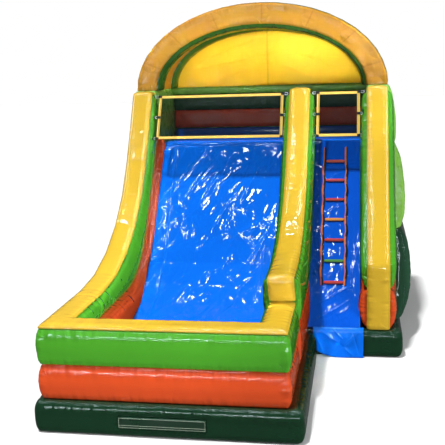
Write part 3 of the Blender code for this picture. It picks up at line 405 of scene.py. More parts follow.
def store(mesh, seam_distance, seam_point):
    """Keeps the distance to the seam and the nearest seam point."""
    keep(mesh, "seam_distance", seam_distance)
    keep(mesh, "seam_point", seam_point)


def clear_of_others(node, places):
    """0 where a chamber lies against another CAD solid, 1 where it is free to swell."""
    corners, faces = [], []
    for name, other in NODES.items():
        if name == node:
            continue
        first = len(corners)
        corners.extend(vertex.co for vertex in other.data.vertices)
        faces.extend([first + i for i in face.vertices] for face in other.data.polygons)
    tree = BVHTree.FromPolygons(corners, faces)
    gap = np.array([tree.find_nearest(place)[3] for place in places])
    return np.clip((gap - TOUCH_GAP) / 0.06, 0.0, 1.0)


def pucker_skin(piece, node, ends, depth, bulge):
    """Gathers the skin along its seams, swells it between them and gives it slow waves."""
    mesh = piece.data
    places, normals = places_of(mesh), normals_of(mesh)
    on_seam = nearest_seam(places, ends)
    distance = np.linalg.norm(places - on_seam, axis=1)
    above_floor = np.clip((places[:, 2] - 0.004) / 0.08, 0.0, 1.0)
    free = np.minimum(clear_of_others(node, places), above_floor)
    seed = sum(ord(letter) for letter in node) % 97
    fade = np.exp(-distance / 0.075) * np.minimum(distance / 0.03, 1.0)
    gathers = field(on_seam, 1 / GATHER_PITCH, seed) + 0.5 * field(on_seam, 2.1 / GATHER_PITCH, seed + 5)
    slow = field(places, 3.0, seed + 11)
    swell = 1 - np.exp(-distance / 0.07)
    lift = depth * gathers * fade + (LUMPS * slow + bulge) * swell - 0.004 * np.exp(-distance / 0.02)
    put_places(mesh, places + normals * (lift * free)[:, None])
    store(mesh, distance, on_seam)


def chamber(node, finish, voxel, depth):
    """An inflated chamber: the CAD solid's skin, rounded into its seams and puckered along them."""
    made = copy_of(node, node + "_skin")
    ends = sewn_edges(made.data)
    if node == "front_arch_face":
        ends += [arch_seam(math.radians(angle)) for angle in range(16, 161, 24)]
    remeshed(made, voxel)
    relaxed(made, 5)
    pucker_skin(made, node, ends, depth, SWELLS.get(node, USUAL_SWELL))
    smooth_shaded(made)
    dress(made, node, VINYL[finish])


def arch_seam(angle):
    """A radial seam across the front of the arch."""
    return tuple(((ARCH_HALF + out) * math.cos(angle), 2.10, ARCH_FOOT + (ARCH_RISE + out) * math.sin(angle))
                 for out in (0.0, 0.36))


# Node, material, size of its faces and depth of its puckers in metres
CHAMBERS = (
    ("pool_base", "base", 0.030, 0.0154),
    ("tower_base", "base", 0.038, 0.0154),
    ("pool_wall_lower", "orange", 0.022, 0.0154),
    ("pool_wall_upper", "green", 0.022, 0.0154),
    ("pool_wall_cap", "yellow", 0.018, 0.0110),
    ("left_wall_lower", "orange", 0.024, 0.0132),
    ("left_wall_upper", "green", 0.024, 0.0132),
    ("left_wall_cap", "yellow", 0.018, 0.0132),
    ("divider_lower", "orange", 0.024, 0.0132),
    ("divider_upper", "green", 0.022, 0.0132),
    ("divider_cap", "yellow", 0.018, 0.0132),
    ("right_wall_lower", "orange", 0.024, 0.0132),
    ("right_wall_upper", "green", 0.022, 0.0132),
    ("right_wall_cap", "yellow", 0.018, 0.0132),
    ("slide_bed", "blue", 0.070, 0.0),
    ("climb_bed", "blue", 0.070, 0.0),
    ("platform", "blue", 0.050, 0.0088),
    ("room_beam_lower", "room_red", 0.020, 0.0132),
    ("room_beam_upper", "room_green", 0.020, 0.0132),
    ("room_rail", "lime", 0.018, 0.0088),
    ("tower_lower_left", "dark", 0.032, 0.0176),
    ("tower_lower_right", "dark", 0.028, 0.0176),
    ("tower_lower_rear", "dark", 0.032, 0.0176),
    ("tower_middle_left", "lime", 0.032, 0.0176),
    ("tower_middle_right", "lime", 0.028, 0.0176),
    ("tower_middle_rear", "lime", 0.032, 0.0176),
    ("tower_upper_left", "lime", 0.030, 0.0154),
    ("tower_upper_right", "lime", 0.028, 0.0154),
    ("tower_upper_rear", "lime", 0.030, 0.0154),
    # The arch face and both arch tubes take copies of their vinyls painted darker with shade
    ("front_arch_face", "gold", 0.016, 0.0198),
    ("front_arch_tube", "olive", 0.022, 0.0132),
    ("rear_arch_tube", "moss", 0.022, 0.0132),
)
SWELLS = {
    "divider_upper": 0.050, "divider_lower": 0.035, "divider_cap": 0.016,
    "right_wall_upper": 0.050, "right_wall_lower": 0.035, "right_wall_cap": 0.016,
    "pool_wall_upper": 0.018, "pool_wall_lower": 0.018, "left_wall_cap": 0.016,
}
for node, finish, voxel, depth in CHAMBERS:
    chamber(node, finish, voxel, depth)
# The soft rail is pressed 60 mm into the shoulders of the courses at its ends
rail_mesh = bpy.data.objects["room_rail_skin"].data
rail_places = places_of(rail_mesh)
pressed = np.clip((np.abs(rail_places[:, 0]) - 1.60) / 0.20, 0.0, 1.0)
rail_places[:, 0] += np.sign(rail_places[:, 0]) * 0.060 * pressed
put_places(rail_mesh, rail_places)


# ---------- loose sheets

def skin_line(node):
    """Side view points of a liner's upper face from its top to its foot, and its left and right edges."""
    mesh = NODES[node].data
    upper = set()
    for face in mesh.polygons:
        if face.normal.z > 0.2:
            upper.update(face.vertices)
    points = sorted({(round(mesh.vertices[i].co.y, 4), round(mesh.vertices[i].co.z, 4)) for i in upper}, reverse=True)
    low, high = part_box(node)
    return np.array(points), low.x, high.x


def ride_along(line, distances):
    """Smooth points and directions at distances along a side view line."""
    steps = np.linalg.norm(np.diff(line, axis=0), axis=1)
    run = np.concatenate(([0], np.cumsum(steps)))
    fine = np.linspace(0, run[-1], 600)
    y, z = np.interp(fine, run, line[:, 0]), np.interp(fine, run, line[:, 1])
    kernel = np.ones(9) / 9
    y[4:-4], z[4:-4] = np.convolve(y, kernel, "valid"), np.convolve(z, kernel, "valid")
    dy, dz = np.gradient(y, fine), np.gradient(z, fine)
    return [np.interp(distances, fine, values) for values in (y, z, dy, dz)]


def creases(u, v, folds):
    """Relief of sharp folds, each with a steep and a slack flank, bowed a little and running out at both ends.

    A fold is its two ends, its height, its width and, if it is bowed, its bow as a share of its length.
    """
    relief = np.zeros_like(u)
    for (u1, v1), (u2, v2), height, width, *bow in folds:
        along = np.array((u2 - u1, v2 - v1))
        length = np.linalg.norm(along)
        along = along / length
        run = (u - u1) * along[0] + (v - v1) * along[1]
        off = (v - v1) * along[0] - (u - u1) * along[1]
        share = np.clip(run / length, 0, 1)
        off = off - (bow[0] if bow else 0.0) * np.sin(np.pi * share) * length
        taper = np.sin(np.pi * share) ** 0.7
        flank = np.where(off * height > 0, 0.55 * width, 1.5 * width)
        relief += height * taper * np.exp(-np.abs(off) / flank)
    return relief


def scattered_folds(count, width, length, seed, lean, sizes, heights):
    """Seeded folds over a sheet, most of them leaning the same way."""
    dice = np.random.default_rng(seed)
    folds = []
    for _ in range(count):
        u, v = dice.uniform(0.05, width - 0.05), dice.uniform(0.0, length)
        angle = math.radians(dice.uniform(*lean)) * (1 if dice.random() < 0.72 else -1)
        size = dice.uniform(*sizes)
        end = (u - math.cos(angle) * size, v + math.sin(angle) * size)
        height = dice.uniform(*heights) * (1 if dice.random() < 0.7 else -0.6)
        folds.append(((u, v), end, height, dice.uniform(0.018, 0.05), dice.uniform(-0.16, 0.16)))
    return folds


def flat_grid(name, across, along):
    """A flat grid to be laid out as a sheet, and the places of its points, from -1 to 1."""
    deselect()
    bpy.ops.mesh.primitive_grid_add(x_subdivisions=across, y_subdivisions=along, size=2.0)
    made = bpy.context.object
    made.name = name
    return made, places_of(made.data)


def laid_sheet(name, node, across, along, relief, spread):
    """A sheet laid over a lane, along the lane's side view."""
    line, left, right = skin_line(node)
    length = np.linalg.norm(np.diff(line, axis=0), axis=1).sum()
    made, flat = flat_grid(name, across, along)
    u = (flat[:, 0] + 1) / 2 * (right - left + 2 * spread) - spread
    v = (1 - flat[:, 1]) / 2 * length
    y, z, dy, dz = ride_along(line, v)
    lift = relief(u, v, right - left, length)
    places = np.stack((left + u, y + dz * lift, z - dy * lift), axis=1)
    put_places(made.data, places)
    edge = np.minimum.reduce((u + spread, right - left + spread - u, v, length - v))
    store(made.data, edge + 0.03, places)
    keep(made.data, "sheet_place", np.stack((u, v, u * 0), axis=1))
    finish_with(made, "SOLIDIFY", thickness=SHEET_THICK, offset=-1.0)
    smooth_shaded(made)
    return made, length


# The slide's liner is tucked in along a line 190 mm from its left edge
TUCK = 0.19
SLIDE_FOLDS = [
    ((1.05, 0.05), (0.40, 1.15), 0.030, 0.055),
    ((1.25, 0.10), (0.62, 1.35), 0.028, 0.050),
    ((0.80, 0.00), (0.28, 0.80), 0.024, 0.050),
    ((1.70, 0.45), (1.38, 1.25), 0.022, 0.045),
    ((1.95, 1.55), (1.62, 2.50), 0.034, 0.060),
    ((1.90, 1.80), (1.80, 3.10), 0.028, 0.050),
    ((1.30, 1.00), (0.95, 1.70), 0.022, 0.050),
    ((0.75, 2.60), (0.30, 3.40), 0.014, 0.045),
    ((1.20, 3.20), (0.85, 4.20), 0.016, 0.040),
    ((1.80, 3.60), (1.25, 4.15), 0.014, 0.040),
    ((0.40, 3.90), (0.70, 4.60), 0.014, 0.040),
    ((1.10, 4.30), (1.75, 4.70), 0.013, 0.040),
]
CLIMB_FOLDS = [
    ((0.70, 2.70), (0.12, 3.05), 0.014, 0.03),
    ((0.66, 2.95), (0.05, 3.35), 0.012, 0.03),
    ((0.60, 3.30), (0.10, 3.75), 0.014, 0.05),
    ((0.66, 0.55), (0.30, 0.75), 0.012, 0.04),
    ((0.52, 1.25), (0.22, 1.45), 0.012, 0.04),
    ((0.62, 2.20), (0.75, 3.20), -0.010, 0.03),
]
STEP_FOLDS = [
    ((0.08, 0.46), (0.40, 0.24), 0.024, 0.060),
    ((0.72, 0.47), (0.46, 0.18), 0.030, 0.060),
    ((0.46, 0.18), (0.62, 0.03), 0.024, 0.050),
    ((0.02, 0.44), (0.16, 0.06), 0.018, 0.045),
    ((0.30, 0.47), (0.46, 0.30), 0.010, 0.014),
    ((0.60, 0.44), (0.70, 0.05), -0.010, 0.018),
]
PANEL_FOLDS = [
    ((1.84, 0.30), (0.75, 0.62), 0.016, 0.05),
    ((1.84, 0.62), (0.45, 0.86), -0.016, 0.06),
    ((1.80, 0.84), (0.95, 1.06), 0.014, 0.05),
    ((1.96, 0.34), (2.95, 0.26), 0.016, 0.05),
    ((1.98, 0.48), (3.25, 0.88), -0.018, 0.06),
    ((1.98, 0.74), (2.85, 1.08), 0.015, 0.05),
]


def slide_relief(u, v, width, length):
    """Folds of the slide's liner: sharp and loose all over, smaller ones near its foot, and the tucked line."""
    folds = scattered_folds(130, width, length, 4, lean=(35, 75), sizes=(0.15, 0.7), heights=(0.005, 0.015))
    foot = scattered_folds(70, width, 1.9, 15, lean=(-80, 80), sizes=(0.10, 0.45), heights=(0.004, 0.012))
    for (u1, v1), (u2, v2), height, size, bow in foot:
        folds.append(((u1, v1 + length - 2.3), (u2, v2 + length - 2.3), height, size * 0.8, bow))
    relief = creases(u, v, folds + SLIDE_FOLDS)
    relief += -0.012 * np.exp(-np.abs(u - TUCK) / 0.014) + 0.05 * np.clip((TUCK - u) / TUCK, 0, 1.2) ** 1.3
    edges = np.clip(np.minimum(u + 0.02, width + 0.02 - u) / 0.10, 0, 1)
    ends = np.clip(np.minimum(v, length - v) / 0.12, 0, 1)
    return relief * np.where(u < TUCK, 1.0, edges) * ends


def climb_relief(u, v, width, length):
    """Folds of the climbing lane's cover, crumpled along its left edge."""
    folds = scattered_folds(46, width, length, 9, lean=(20, 70), sizes=(0.12, 0.45), heights=(0.003, 0.008))
    crumpled = scattered_folds(110, 0.20, length - 0.8, 33, lean=(-80, 80), sizes=(0.05, 0.20), heights=(0.004, 0.010))
    relief = creases(u, v, folds) + creases(u, v, CLIMB_FOLDS) + 0.8 * creases(u, v, crumpled)
    edges = np.clip(np.minimum(u, width - u) / 0.08, 0, 1)
    ends = np.clip(np.minimum(v, length - v) / 0.10, 0, 1)
    return relief * edges * ends


liner, liner_length = laid_sheet("slide_liner_sheet", "slide_liner", 140, 345, slide_relief, spread=0.025)
dress(liner, "slide_liner", VINYL["film"])

# The climbing lane's cover takes the blue darkened with painted shade
cover, cover_length = laid_sheet("climb_liner_sheet", "climb_liner", 90, 330, climb_relief, spread=0.01)
dress(cover, "climb_liner", VINYL["shaded_climb_film"])


def turned_up_edge():
    """The liner's edge against the divider, slack between its hem and the fold at its foot."""
    made = copy_of("slide_liner_edge", "slide_liner_edge_sheet")
    bm = bmesh.new()
    bm.from_mesh(made.data)
    bmesh.ops.delete(bm, geom=[face for face in bm.faces if face.normal.x >= -0.3], context="FACES")
    bm.to_mesh(made.data)
    bm.free()
    squared(made)
    divided(made, 12)
    relaxed(made, 4)
    places, normals = places_of(made.data), normals_of(made.data)
    if normals[:, 0].mean() > 0:
        normals = -normals
    run = np.stack((places[:, 1] * 1.5, places[:, 2] * 1.5, places[:, 0] * 0), axis=1)
    waves = 0.010 * field(run, 2.2, 3) + 0.005 * np.abs(field(run, 6.0, 8))
    put_places(made.data, places + normals * waves[:, None])
    store(made.data, np.full(len(places), FAR_FROM_SEAM), places)
    finish_with(made, "SOLIDIFY", thickness=SHEET_THICK, offset=-1.0)
    smooth_shaded(made)
    dress(made, "slide_liner_edge", VINYL["blue"])


def step_apron():
    """The padded cover of the entry step, pulled into long folds towards its corners."""
    made = copy_of("step_cover", "step_cover_skin")
    remeshed(made, 0.006)
    relaxed(made, 6)
    places, normals = places_of(made.data), normals_of(made.data)
    front = np.clip(-normals[:, 1], 0, 1)
    folds = creases(places[:, 0] - 1.035, places[:, 2], STEP_FOLDS)
    lift = folds * front + 0.004 * field(places, 9.0, 21)
    put_places(made.data, places + normals * lift[:, None])
    store(made.data, np.full(len(places), FAR_FROM_SEAM), places)
    smooth_shaded(made)
    dress(made, "step_cover", VINYL["film"])


turned_up_edge()
step_apron()


def arch_sheet(name, across, along, place_at):
    """A sheet from a grid whose two shares, 0 to 1, are turned into places."""
    made, flat = flat_grid(name, across, along)
    put_places(made.data, place_at((flat[:, 0] + 1) / 2, (flat[:, 1] + 1) / 2))
    store(made.data, np.full(len(flat), FAR_FROM_SEAM), places_of(made.data))
    finish_with(made, "SOLIDIFY", thickness=SHEET_THICK, offset=0.0)
    smooth_shaded(made)
    return made


PANEL_HALF = 1.92
PANEL_RISE = 1.16
ROOF_FRONT = 2.532
ROOF_DEEP = 0.766
ROOF_LONG = 4.9


def back_panel_place(s, t):
    """The back panel fills the rear arch; it is tight at its seam in the middle and creased beside it."""
    x = (s * 2 - 1) * PANEL_HALF * 0.998
    top = PANEL_RISE * np.sqrt(np.clip(1 - (x / PANEL_HALF) ** 2, 0, 1))
    z = 4.052 + t * top
    folds = scattered_folds(34, 3.8, 1.2, 31, lean=(25, 70), sizes=(0.3, 0.9), heights=(0.004, 0.010))
    relief = creases(x + 1.9, 5.25 - z, folds + PANEL_FOLDS)
    relief += -0.012 * np.exp(-np.abs(x) / 0.02) + 0.006 * np.sin(np.pi * t) * np.abs(np.sin(x * math.pi / 1.9))
    return np.stack((x, 3.506 - relief * np.sin(np.pi * np.clip(t, 0, 1)) ** 0.4, z), axis=1)


def canopy_place(s, t):
    """The canopy roof spans from the front arch to the rear one and sags a little between them."""
    angle = np.pi * s
    slack = np.sin(np.pi * t)
    folds = scattered_folds(40, ROOF_LONG, 0.77, 44, lean=(60, 90), sizes=(0.3, 0.7), heights=(0.003, 0.008))
    out = 0.015 - 0.030 * slack + creases(s * ROOF_LONG, t * 0.77, folds) * slack
    x = (ARCH_HALF + out) * np.cos(angle)
    z = 4.0503 + (ARCH_RISE + out) * np.sin(angle)
    return np.stack((x, ROOF_FRONT + t * ROOF_DEEP, z), axis=1)


panel = arch_sheet("back_panel_sheet", 190, 60, back_panel_place)
# The panel is gathered along its seam in the middle, and darkened there with grime and painted shade
panel_places = places_of(panel.data)
store(panel.data, np.abs(panel_places[:, 0]) * 0.6, panel_places * (0, 1, 1))
dress(panel, "back_panel", VINYL["backlit_panel_yellow"])
roof = arch_sheet("canopy_roof_sheet", 240, 40, canopy_place)
dress(roof, "canopy_roof", VINYL["painted_roof_glow"])


# ---------- nets and their straps

NET_FOOT = Vector((0, 1.50, 3.24))
NET_HEAD = Vector((0, 1.90, 3.96))
NET_UP = (NET_HEAD - NET_FOOT).normalized()
NET_OUT = Vector((0, -NET_UP.z, NET_UP.y))
NET_TALL = (NET_HEAD - NET_FOOT).length
NET_PITCH = 0.018
NET_CORD = 0.0036
BORDER_WIDE = 0.048
STRAP_WIDE = 0.046


def net_place(x, up, out=0.0):
    """A place on the net's slanted plane: sideways, up the plane and towards the lane."""
    return Vector((x, 0, 0)) + NET_FOOT + NET_UP * up + NET_OUT * out


def placed(made, name, sides, middle):
    """Names a new primitive and settles it about a point, its x, y and z sides drawn out to three vectors."""
    made.name = name
    turn = Matrix(sides).transposed().to_4x4()
    turn.translation = middle
    made.matrix_world = turn
    settle(made)
    return made


def strip(name, start, end, wide, thick):
    """A strip of webbing on the net's plane between two points, its edges rounded."""
    along = end - start
    across = along.normalized().cross(NET_OUT).normalized()
    out = across.cross(along.normalized())
    deselect()
    bpy.ops.mesh.primitive_cube_add(size=1.0)
    made = placed(bpy.context.object, name, (across * wide, along, out * thick), (start + end) / 2)
    edit(made, lambda: bpy.ops.mesh.bevel(offset=min(wide, thick) * 0.35, segments=1, affect="EDGES"))
    return made


def snap_hook(name, middle, side, length):
    """A steel snap hook: a ring of wire drawn out along the strap."""
    deselect()
    bpy.ops.mesh.primitive_torus_add(major_radius=0.5, minor_radius=0.11, major_segments=24, minor_segments=8)
    along = Vector((side, 0, 0))
    across = along.cross(NET_OUT).normalized()
    made = placed(bpy.context.object, name, (along * length, across * 0.044, NET_OUT * 0.034), middle)
    edit(made, lambda: bpy.ops.mesh.normals_make_consistent(inside=False))
    smooth_shaded(made)
    return made


def fill_with_bars(mesh, bars, out, thick):
    """Fills a mesh with four-sided bars of cord or thread, each between its two ends."""
    bm = bmesh.new()
    for start, end in bars:
        across = (end - start).normalized().cross(out).normalized()
        rings = []
        for place in (start, end):
            rings.append([bm.verts.new(place + across * a * thick / 2 + out * b * thick / 2)
                          for a, b in ((-1, -1), (1, -1), (1, 1), (-1, 1))])
        for k in range(4):
            bm.faces.new((rings[0][k], rings[0][(k + 1) % 4], rings[1][(k + 1) % 4], rings[1][k]))
        bm.faces.new(rings[0][::-1])
        bm.faces.new(rings[1])
    bmesh.ops.recalc_face_normals(bm, faces=bm.faces)
    bm.to_mesh(mesh)
    bm.free()


def net_mesh(name, node, left, right, low, high):
    """The net's crossing cords, 18 mm apart, at two depths."""
    across, upward = round((right - left) / NET_PITCH), round((high - low) / NET_PITCH)
    cords = []
    for i in range(across + 1):
        x = left + (right - left) * i / across
        cords.append((net_place(x, low, NET_CORD / 2), net_place(x, high, NET_CORD / 2)))
    for i in range(upward + 1):
        up = low + (high - low) * i / upward
        cords.append((net_place(left, up, -NET_CORD / 2), net_place(right, up, -NET_CORD / 2)))
    deselect()
    bpy.ops.mesh.primitive_cube_add(size=1.0)
    made = bpy.context.object
    made.name = name
    fill_with_bars(made.data, cords, NET_OUT, NET_CORD)
    dress(made, node, WEBBING["mesh"])


def net_border(name, node, left, right):
    """The webbing round a net, and three straps a side, each a black loop, a steel hook and a black tab."""
    half = BORDER_WIDE / 2
    strips = [strip(name, net_place(left, up, 0.002), net_place(right, up, 0.002), BORDER_WIDE, 0.005)
              for up in (half, NET_TALL - half)]
    strips += [strip(name, net_place(x, 0.002, -0.002), net_place(x, NET_TALL - 0.002, -0.002), BORDER_WIDE, 0.005)
               for x in (left + half, right - half)]
    hold(strips[0])
    for made in strips:
        made.select_set(True)
    bpy.ops.object.join()
    dress(strips[0], node, WEBBING["orange"])
    number = 0
    for edge, side in ((left, -1), (right, 1)):
        for wall_x, up in zip(strap_ends(node, side), (0.015, NET_TALL / 2, NET_TALL - 0.015)):
            number += 1
            reach = abs(wall_x - edge)
            loop = strip(name + "_loop_%d" % number, net_place(edge - side * 0.045, up, 0.0065),
                         net_place(edge + side * reach * 0.22, up, 0.0065), STRAP_WIDE, 0.005)
            tab = strip(name + "_tab_%d" % number, net_place(wall_x - side * reach * 0.30, up),
                        net_place(wall_x + side * 0.012, up), STRAP_WIDE, 0.006)
            hook = snap_hook(name + "_hook_%d" % number, net_place(edge + side * reach * 0.47, up, 0.003),
                             side, reach * 0.62)
            for piece, finish, slot in ((loop, WEBBING["black"], "black_nylon"),
                                        (tab, WEBBING["black"], "black_nylon"), (hook, STEEL, "steel")):
                dress(piece, None, finish)


def strap_ends(node, side):
    """X of the strap ends at one wall, from the foot of the net to its head, read from the CAD border."""
    places = places_of(NODES[node].data)
    ends = []
    for up in (0.013, NET_TALL / 2, NET_TALL - 0.013):
        near = places[np.linalg.norm(places[:, 1:] - np.array(net_place(0, up))[1:], axis=1) < 0.022]
        ends.append(float(near[:, 0].min() if side < 0 else near[:, 0].max()))
    return ends


for net, left, right in (("net_left", -1.74, 0.45), ("net_right", 1.02, 1.74)):
    net_mesh(net + "_cords", net, left + 0.03, right - 0.03, 0.03, NET_TALL - 0.03)
    net_border(net + "_border_webbing", net + "_border", left, right)


# ---------- ladder

RUNG_PITCH = 0.373
FIRST_RUNG = 0.74
LAST_RUNG = 2.98
RAIL_SLACK = 0.018
LANE_SLOPE = np.array((0.627, 0.779))
RUNG_FINISHES = ("coral", "pink", "red", "amber", "red", "leaf", "red")


def ladder_piece(node, finish):
    """A rail or rung of the ladder: the CAD piece cut finer and rounded off."""
    made = copy_of(node, node + "_webbing")
    squared(made)
    divided(made, 2)
    relaxed(made, 2)
    smooth_shaded(made)
    dress(made, node, finish)
    return made


for side in ("left", "right"):
    rail = ladder_piece("ladder_rail_" + side, WEBBING["rust"])
    places = places_of(rail.data)
    # The rails stand off the lane between the rungs
    run = (places[:, 1] + 0.12) * LANE_SLOPE[0] + (places[:, 2] - 0.46) * LANE_SLOPE[1]
    between = (run > FIRST_RUNG) & (run < LAST_RUNG)
    lift = RAIL_SLACK * np.sin(np.pi * (run - FIRST_RUNG) / RUNG_PITCH) ** 2 * between
    places[:, 1] -= LANE_SLOPE[1] * lift
    places[:, 2] += LANE_SLOPE[0] * lift
    put_places(rail.data, places)
    # The strap's right half is painted black: painted shadow, for the shadow that the rail casts to its right
    rail.data.materials.append(WEBBING["black"])
    middle = places[:, 0].mean()
    for face in rail.data.polygons:
        face.material_index = int(face.center.x > middle - 0.002)
for number, finish in enumerate(RUNG_FINISHES, 1):
    rung = ladder_piece("ladder_rung_%d" % number, WEBBING[finish])


# ---------- zip, sleeve and anchors

STITCH_PITCH = 0.014
STITCH_THICK = 0.0030


def stitch_row(x1, z1, x2, z2, front):
    """The ends of each stitch in a row on the flap's front."""
    start, end = Vector((x1, front, z1)), Vector((x2, front, z2))
    along = (end - start).normalized()
    count = max(int((end - start).length / STITCH_PITCH), 1)
    begins = [start + (end - start) * (i + 0.1) / count for i in range(count)]
    return [(begin, begin + along * STITCH_PITCH * 0.72) for begin in begins]


def flap():
    """The flap over the zip: a strip of vinyl on its hem, with its rows of stitches."""
    made = copy_of("zip_flap", "zip_flap_sheet")
    squared(made)
    divided(made, 3)
    divided(made, 3)
    places = places_of(made.data)
    hanging = np.clip((0.265 - places[:, 2]) / 0.12, 0, 1)
    places[:, 1] += np.minimum(0.0014 * field(places, 5.0, 61) * hanging, 0.0)
    put_places(made.data, places)
    store(made.data, np.full(len(places), FAR_FROM_SEAM), places)
    smooth_shaded(made)
    dress(made, "zip_flap", VINYL["patch"], "flap")
    low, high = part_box("zip_flap")
    front = low.y - 0.0016
    left, right, foot = low.x + 0.008, high.x - 0.008, low.z + 0.010
    stitches = []
    for z in (foot, foot + 0.028, high.z - 0.014):
        stitches += stitch_row(left, z, right, z, front)
    for x in (left, right):
        stitches += stitch_row(x, foot, x, high.z - 0.02, front)
    sewing = linked("zip_flap_stitches", bpy.data.meshes.new("zip_flap_stitches"))
    fill_with_bars(sewing.data, stitches, Vector((0, -1, 0)), STITCH_THICK)
    dress(sewing, None, WEBBING["thread"], "flap")


def sleeve():
    """The inflation sleeve, a soft tube that lies creased on the floor."""
    made = copy_of("inflation_sleeve", "inflation_sleeve_sheet")
    squared(made)
    divided(made, 5)
    places = places_of(made.data)
    run = np.clip((places[:, 1] - 3.80) / 0.12, 0, 1)
    angle = np.arctan2(places[:, 2] - 0.12, places[:, 0] + 1.30)
    crease = 0.009 * np.sin(angle * 7 + places[:, 1] * 5) + 0.006 * np.sin(angle * 12 - places[:, 1] * 9)
    radial = np.stack((np.cos(angle), np.zeros_like(angle), np.sin(angle)), axis=1)
    places = places + radial * (crease * run)[:, None]
    places[:, 2] = np.maximum(places[:, 2], 0.001)
    put_places(made.data, places)
    store(made.data, np.full(len(places), FAR_FROM_SEAM), places)
    smooth_shaded(made)
    dress(made, "inflation_sleeve", VINYL["dark"])


flap()
sleeve()

for node in ("anchor_tab_left", "anchor_tab_right"):
    made = copy_of(node, node + "_webbing")
    squared(made)
    finish_with(made, "BEVEL", width=0.0008, segments=2, limit_method="ANGLE")
    smooth_shaded(made)
    dress(made, node, WEBBING["orange"])
for node in ("anchor_ring_left", "anchor_ring_right", "zip_slider", "zip_track"):
    NODES[node].data.materials.clear()
    NODES[node].data.materials.append(NYLON if node == "zip_track" else STEEL)


# ---------- floor, light and camera

# The blue pieces are kept out of the reflections, which leaves the glossy walls beside them their clean colours
for name in ("slide_bed_skin", "climb_bed_skin", "slide_liner_sheet", "climb_liner_sheet", "slide_liner_edge_sheet",
             "step_cover_skin"):
    bpy.data.objects[name].visible_glossy = False

# Strength of the surroundings, as diffuse light and in reflections
AMBIENT = 0.32
REFLECTED = 0.10
# Name, place, target, size, power and spread in degrees of the fills and narrow beams, which leave no reflection
BEAMS = (
    ("Front fill", (0.0, -14.0, 5.0), (0.0, -2.0, 1.0), (7.0, 4.0), 60, 180),
    ("Right fill", (12.0, -6.0, 5.0), (0.0, -1.0, 1.3), (5.0, 3.0), 1250, 180),
    ("Arch beam", (0.6, -12.0, 4.78), (0.0, 3.0, 4.95), (5.6, 1.4), 31, 4),
    ("End beam", (1.1, -12.0, 5.2), (0.73, -2.05, 1.52), (0.40, 0.30), 1.0, 1.5),
    ("Wall beam", (6.8, -0.6, 7.9), (-1.95, -0.6, 2.4), (5.4, 2.8), 60, 8),
    ("Panel beam", (1.7, -12.0, 4.85), (1.05, 3.5, 4.62), (1.4, 0.6), 1.8, 2),
    ("Foot beam", (1.5, -12.0, 4.9), (1.30, -2.2, 0.75), (0.50, 0.90), 1.2, 1.5),
)
# Name, place, target, size and power of the strips, which show only as highlights
STRIPS = (
    ("Left strip", (-5.5, -17.0, 2.8), (-5.5, -3.7, 0.8), (5.0, 0.30), 850),
    ("Right strip", (-0.2, -17.0, 2.8), (-0.2, -3.7, 0.8), (3.6, 0.20), 330),
    ("Far right strip", (7.0, -17.0, 3.0), (1.4, -2.5, 0.3), (5.0, 0.9), 900),
    ("East strip", (6.8, -1.0, 8.2), (-1.5, -1.0, 1.5), (8.0, 0.35), 330),
    ("West strip", (-8.5, -1.0, 8.2), (0.5, -1.0, 1.5), (8.0, 0.35), 260),
)
# Places of the small lamps, which show only as highlights
LAMPS = (
    (-7.2, -4.6, 9.5), (-5.6, -4.0, 10.0), (-4.0, -6.8, 9.5), (-2.4, -8.2, 9.0), (-1.0, -6.8, 9.5), (-1.1, -4.2, 10.0),
    (0.1, -3.4, 9.8), (-0.8, -1.0, 10.5), (-2.2, 1.8, 10.5), (-4.9, -0.9, 10.5), (1.3, 1.2, 10.4), (3.8, 0.4, 10.5),
    (6.5, -10.5, 7.5), (-8.0, 0.0, 9.0), (-3.5, -10.5, 7.5), (-1.2, -10.0, 8.0), (1.6, 2.6, 10.4), (0.0, 5.5, 11.0),
)


def pale_floor():
    """The floor: pale matt paper, faintly uneven."""
    deselect()
    bpy.ops.mesh.primitive_plane_add(size=160.0, location=(0, 0, -0.002))
    made = bpy.context.object
    made.name = "studio_floor"
    settle(made)
    finish, tree, shader = new_material("Pale studio floor", Roughness=0.9)
    place = add(tree, "ShaderNodeTexCoord").outputs["Object"]
    specks = add(tree, "ShaderNodeTexNoise", {"Vector": place, "Scale": 3.0, "Detail": 4.0})
    tint = add(tree, "ShaderNodeMix", {0: specks.outputs["Fac"], 6: linear("#cfcfcf"), 7: linear("#cacaca")},
               data_type="RGBA")
    tree.links.new(tint.outputs[2], shader.inputs["Base Color"])
    made.data.materials.append(finish)
    made.visible_glossy = False


def hung(light, place, target):
    """Hangs a light at its place, aimed at a point."""
    made = linked(light.name, light)
    made.location = place
    made.rotation_euler = (Vector(target) - Vector(place)).to_track_quat("-Z", "Y").to_euler()
    return made


def lamp(name, place, target, size, power, spread=180):
    """A rectangular studio lamp aimed at a point; a small spread makes it a beam."""
    light = bpy.data.lights.new(name, "AREA")
    light.shape = "RECTANGLE"
    light.size, light.size_y = size
    light.energy = power
    light.spread = math.radians(spread)
    return hung(light, place, target)


def highlight(made, colour):
    """Makes a lamp show in reflections alone."""
    made.visible_diffuse = False
    made.data.color = colour


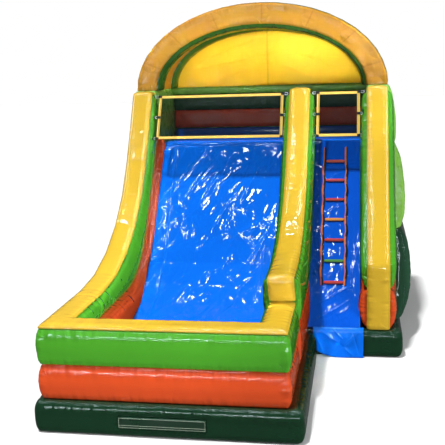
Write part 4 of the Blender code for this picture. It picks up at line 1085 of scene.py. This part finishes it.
def studio():
    """White surroundings for the camera, a dim room for reflections, a soft sun and all the lamps."""
    bpy.context.scene.view_settings.view_transform = "Standard"
    world = bpy.data.worlds.new("Pale studio")
    bpy.context.scene.world = world
    world.use_nodes = True
    tree = world.node_tree
    rays = add(tree, "ShaderNodeLightPath")
    room = add(tree, "ShaderNodeMix", {0: rays.outputs["Is Glossy Ray"], 2: AMBIENT, 3: REFLECTED}, data_type="FLOAT")
    seen = add(tree, "ShaderNodeMix", {0: rays.outputs["Is Camera Ray"], 2: room.outputs[0], 3: 1.0}, data_type="FLOAT")
    back = tree.nodes["Background"]
    back.inputs["Color"].default_value = linear("#ffffff")
    tree.links.new(seen.outputs[0], back.inputs["Strength"])
    overhead = bpy.data.lights.new("Roof light", "SUN")
    overhead.energy = 5.2
    overhead.angle = math.radians(5)
    made = linked("Roof light", overhead)
    made.rotation_euler = (math.radians(12), math.radians(-10), 0)
    made.visible_glossy = False
    for beam in BEAMS:
        lamp(*beam).visible_glossy = False
    spot = bpy.data.lights.new("Lane spot", "SPOT")
    spot.energy = 3200
    spot.spot_size = math.radians(15)
    spot.spot_blend = 0.35
    spot.shadow_soft_size = 0.6
    hung(spot, (6.5, -9.0, 4.2), (-2.0, -2.2, 0.9)).visible_glossy = False
    for row in STRIPS:
        highlight(lamp(*row), (0.80, 0.96, 1.0))
    for number, place in enumerate(LAMPS, 1):
        highlight(lamp("Lamp %d" % number, place, (0.0, 0.0, 1.0), (0.60, 0.42), 75), (0.78, 0.96, 1.0))


def photo_camera():
    """The camera, set from its fit to the object's edges."""
    yaw, pitch, roll = -0.176, 0.201, -0.033
    ahead = Vector((math.sin(yaw) * math.cos(pitch), math.cos(yaw) * math.cos(pitch), -math.sin(pitch)))
    right = Vector((math.cos(yaw), -math.sin(yaw), 0.0))
    up = right.cross(ahead)
    tilted_right = right * math.cos(roll) + up * math.sin(roll)
    tilted_up = up * math.cos(roll) - right * math.sin(roll)
    camera = bpy.data.cameras.new("Photo camera")
    camera.sensor_width = 36.0
    camera.lens = 63.28
    camera.clip_end = 200.0
    made = linked("Photo camera", camera)
    turn = Matrix((tilted_right, tilted_up, -ahead)).transposed().to_4x4()
    turn.translation = (1.726, -11.691, 4.498)
    made.matrix_world = turn
    bpy.context.scene.camera = made


pale_floor()
studio()
photo_camera()
